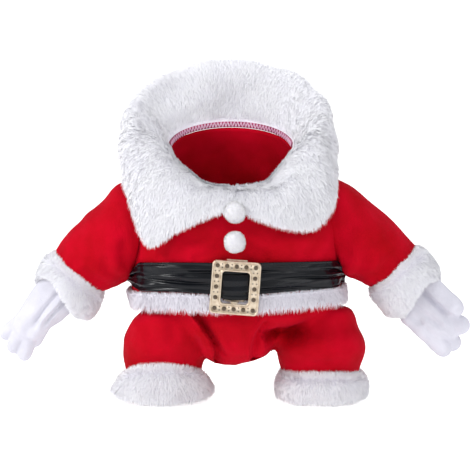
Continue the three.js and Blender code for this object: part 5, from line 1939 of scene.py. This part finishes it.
class StitchTree(GrowthTree):
    """The tree that sews one slanted stitch on each of a mesh's points."""

    TITLE = "sewn stitches"
    INPUTS = {"Length": "Float", "Radius": "Float", "Slant": "Float"}

    def planting(self) -> Feeds:
        """Makes the stitch, and leans every other one the other way."""
        given = self.given
        thread = self.add("GeometryNodeMeshUVSphere", {"Segments": 6, "Rings": 5, "Radius": 1.0})
        odd = self.math("MODULO", self.add("GeometryNodeInputIndex").outputs[0], 2.0)
        lean = self.math("MULTIPLY", self.math("MULTIPLY_ADD", odd, 2.0, -1.0), given["Slant"])
        rise, face = (self.named(word, "FLOAT_VECTOR") for word in ("rise", "face"))
        return {"Points": given["Geometry"], "Instance": thread.outputs["Mesh"],
                "Rotation": self.aimed(rise, face, (0, 1, 0), lean),
                "Scale": self.combined(given["Radius"], given["Radius"], given["Length"])}

    def sew(self, points: np.ndarray, rise: np.ndarray, face: np.ndarray, name: str, length: float,
            radius: float, slant: float) -> bpy.types.Object:
        """Sews a stitch at each point and returns them as a plain mesh.

        Args:
            points: The stitches' middles, in the drawing.
            rise: The direction along each stitch.
            face: The direction that each stitch faces.
            name: The new object's name.
            length: Half a stitch's length.
            radius: The thread's radius.
            slant: How far each leans, in radians, this way and that in turn.

        Returns:
            The stitches.
        """
        host = make_mesh(f"{name}_holes", points, np.zeros((0, 3), int), closed=False)
        for word, values in (("rise", rise), ("face", face)):
            host.data.attributes.new(word, "FLOAT_VECTOR", "POINT").data.foreach_set("vector", values.ravel())
        return self.grown(host, name, {"Length": length * MM, "Radius": radius * MM, "Slant": slant,
                                       "Material": THREAD.material()})


@dataclass
class NeckStitching:
    """The neck seam's overlocked allowance that shows along the back, its red darkened by painted shade, and
    its thread.
    """

    collar: Collar
    first: float = 0.285
    last: float = 0.715
    pitch: float = 1.5
    tall: float = 0.052
    tape_steps: int = 150

    def build(self) -> None:
        """Builds the strip of allowance and sews it."""
        at, across = np.meshgrid(np.linspace(self.first, self.last, self.tape_steps),
                                 np.linspace(0.0, self.tall, 5), indexing="xy")
        grid = self.collar.middle(at, across)
        normals = grid_normals(grid)
        # Its tape is painted dark: painted shade between the stitches, over the cloth's own red.
        tape = make_shell("neck_seam_allowance", grid + normals * 1.5, grid + normals * 0.7, False)
        Piece(tape, Slot.VELOUR).declare(SHADED_SEAM_TAPE)
        middle_row = grid[2]
        arc = np.r_[0, np.cumsum(np.linalg.norm(np.diff(middle_row, axis=0), axis=1))]
        where = np.arange(self.pitch / 2, arc[-1], self.pitch)
        shares = np.interp(where, arc, at[0])
        flat = np.full_like(shares, self.tall * 0.5)
        spots = self.collar.middle(shares, flat)
        rise = unit(self.collar.middle(shares, flat + 0.02) - spots)
        face = unit(np.cross(np.gradient(spots, axis=0), rise))
        neck_middle = np.array([0.0, 0.0, 225.0])
        inward = neck_middle - spots
        face = np.where((face * inward).sum(axis=-1, keepdims=True) > 0, face, -face)
        stitches = StitchTree().sew(spots + face * 1.75, rise, face, "neck_stitches", 2.5, 0.42, 0.22)
        Piece(stitches, Slot.VELOUR).declare()


@dataclass
class Studio:
    """The camera at the photograph's angle, soft light and a plain pale floor."""

    image_pixels: int = 470
    mm_per_pixel: float = 0.88
    elevation: float = 6.0
    lens: float = 500.0
    sensor: float = 36.0
    aim_x: float = -0.9
    aim_height: float = 148.0
    floor_reach: float = 30000.0

    def camera(self) -> None:
        """Creates the camera."""
        wide = self.image_pixels * self.mm_per_pixel
        distance = wide * self.lens / self.sensor * MM
        aim = to_frame(np.array([self.aim_x, 0.0, self.aim_height]))[0]
        tilt = math.radians(self.elevation)
        data = bpy.data.cameras.new("camera")
        data.lens = self.lens
        data.sensor_width = self.sensor
        data.clip_end = 200.0
        camera = placed_object("camera", data)
        camera.location = (aim[0], aim[1] - distance * math.cos(tilt), aim[2] + distance * math.sin(tilt))
        camera.rotation_euler = (math.pi / 2 - tilt, 0, 0)
        bpy.context.scene.camera = camera

    def light(self, name: str, place: tuple[float, float, float], size: float, power: float) -> None:
        """Creates an area light that faces the suit's middle."""
        data = bpy.data.lights.new(name, "AREA")
        data.shape = "DISK"
        data.size = size
        data.energy = power
        lamp = placed_object(name, data)
        lamp.location = place
        towards = np.array([0.0, 0.0, -0.06]) - np.array(place)
        lamp.rotation_euler = Vector(towards.tolist()).to_track_quat("-Z", "Y").to_euler()

    def floor(self) -> None:
        """Creates the floor."""
        corners = np.array([(-1, -1, 0), (1, -1, 0), (1, 1, 0), (-1, 1, 0)]) * self.floor_reach
        floor = make_mesh("floor", corners, np.array([[0, 1, 2, 3]]), closed=False)
        floor.data.materials.append(PALE_FLOOR.material())

    def build(self) -> None:
        """Creates the camera, the lights, the air's light and the floor."""
        self.camera()
        self.floor()
        world = bpy.data.worlds.new("studio")
        bpy.context.scene.world = world
        world.use_nodes = True
        back = next(node for node in world.node_tree.nodes if node.type == "BACKGROUND")
        back.inputs["Color"].default_value = (0.97, 0.98, 1.0, 1.0)
        back.inputs["Strength"].default_value = 0.55
        self.light("key", (-2.0, -1.1, 1.3), 0.8, 38.0)
        self.light("fill", (1.3, -1.3, 1.1), 1.4, 9.0)
        self.light("top", (0.1, -0.4, 1.7), 1.0, 7.5)
        bpy.context.scene.view_settings.view_transform = "Standard"


def report(name: str, before: set[str]) -> set[str]:
    """Logs the pieces that are new since the last report and returns all the names."""
    names = {o.name for o in bpy.data.objects if o.type == "MESH"}
    for new in sorted(names - before):
        obj = bpy.data.objects[new]
        triangles = sum(len(p.vertices) - 2 for p in obj.data.polygons)
        log.info("%s: %s, %d triangles", name, new, triangles)
    return names


def main() -> None:
    """Builds the studio and every piece."""
    logging.basicConfig(level=logging.INFO, format="%(message)s")
    Studio().build()
    names = report("stage", {o.name for o in frame["nodes"].values()})
    pads = Pads()
    jacket = Jacket()
    jacket.build()
    names = report("jacket", names)
    for side in ("left", "right"):
        FalseArm(side, jacket, pads).build()
    names = report("false arms", names)
    Trousers(pads).build()
    names = report("trousers", names)
    waist = Waist(jacket, pads)
    waist.build()
    names = report("waist", names)
    Buckle(jacket, waist).build()
    names = report("buckle", names)
    Pompoms(jacket, pads).build()
    names = report("pompoms", names)
    collar = Collar(jacket, pads)
    collar.build([skin_tree(bpy.data.objects[f"sleeve_{side}_cloth"]) for side in ("left", "right")])
    NeckStitching(collar).build()
    report("collar", names)


if __name__ == "__main__":
    main()
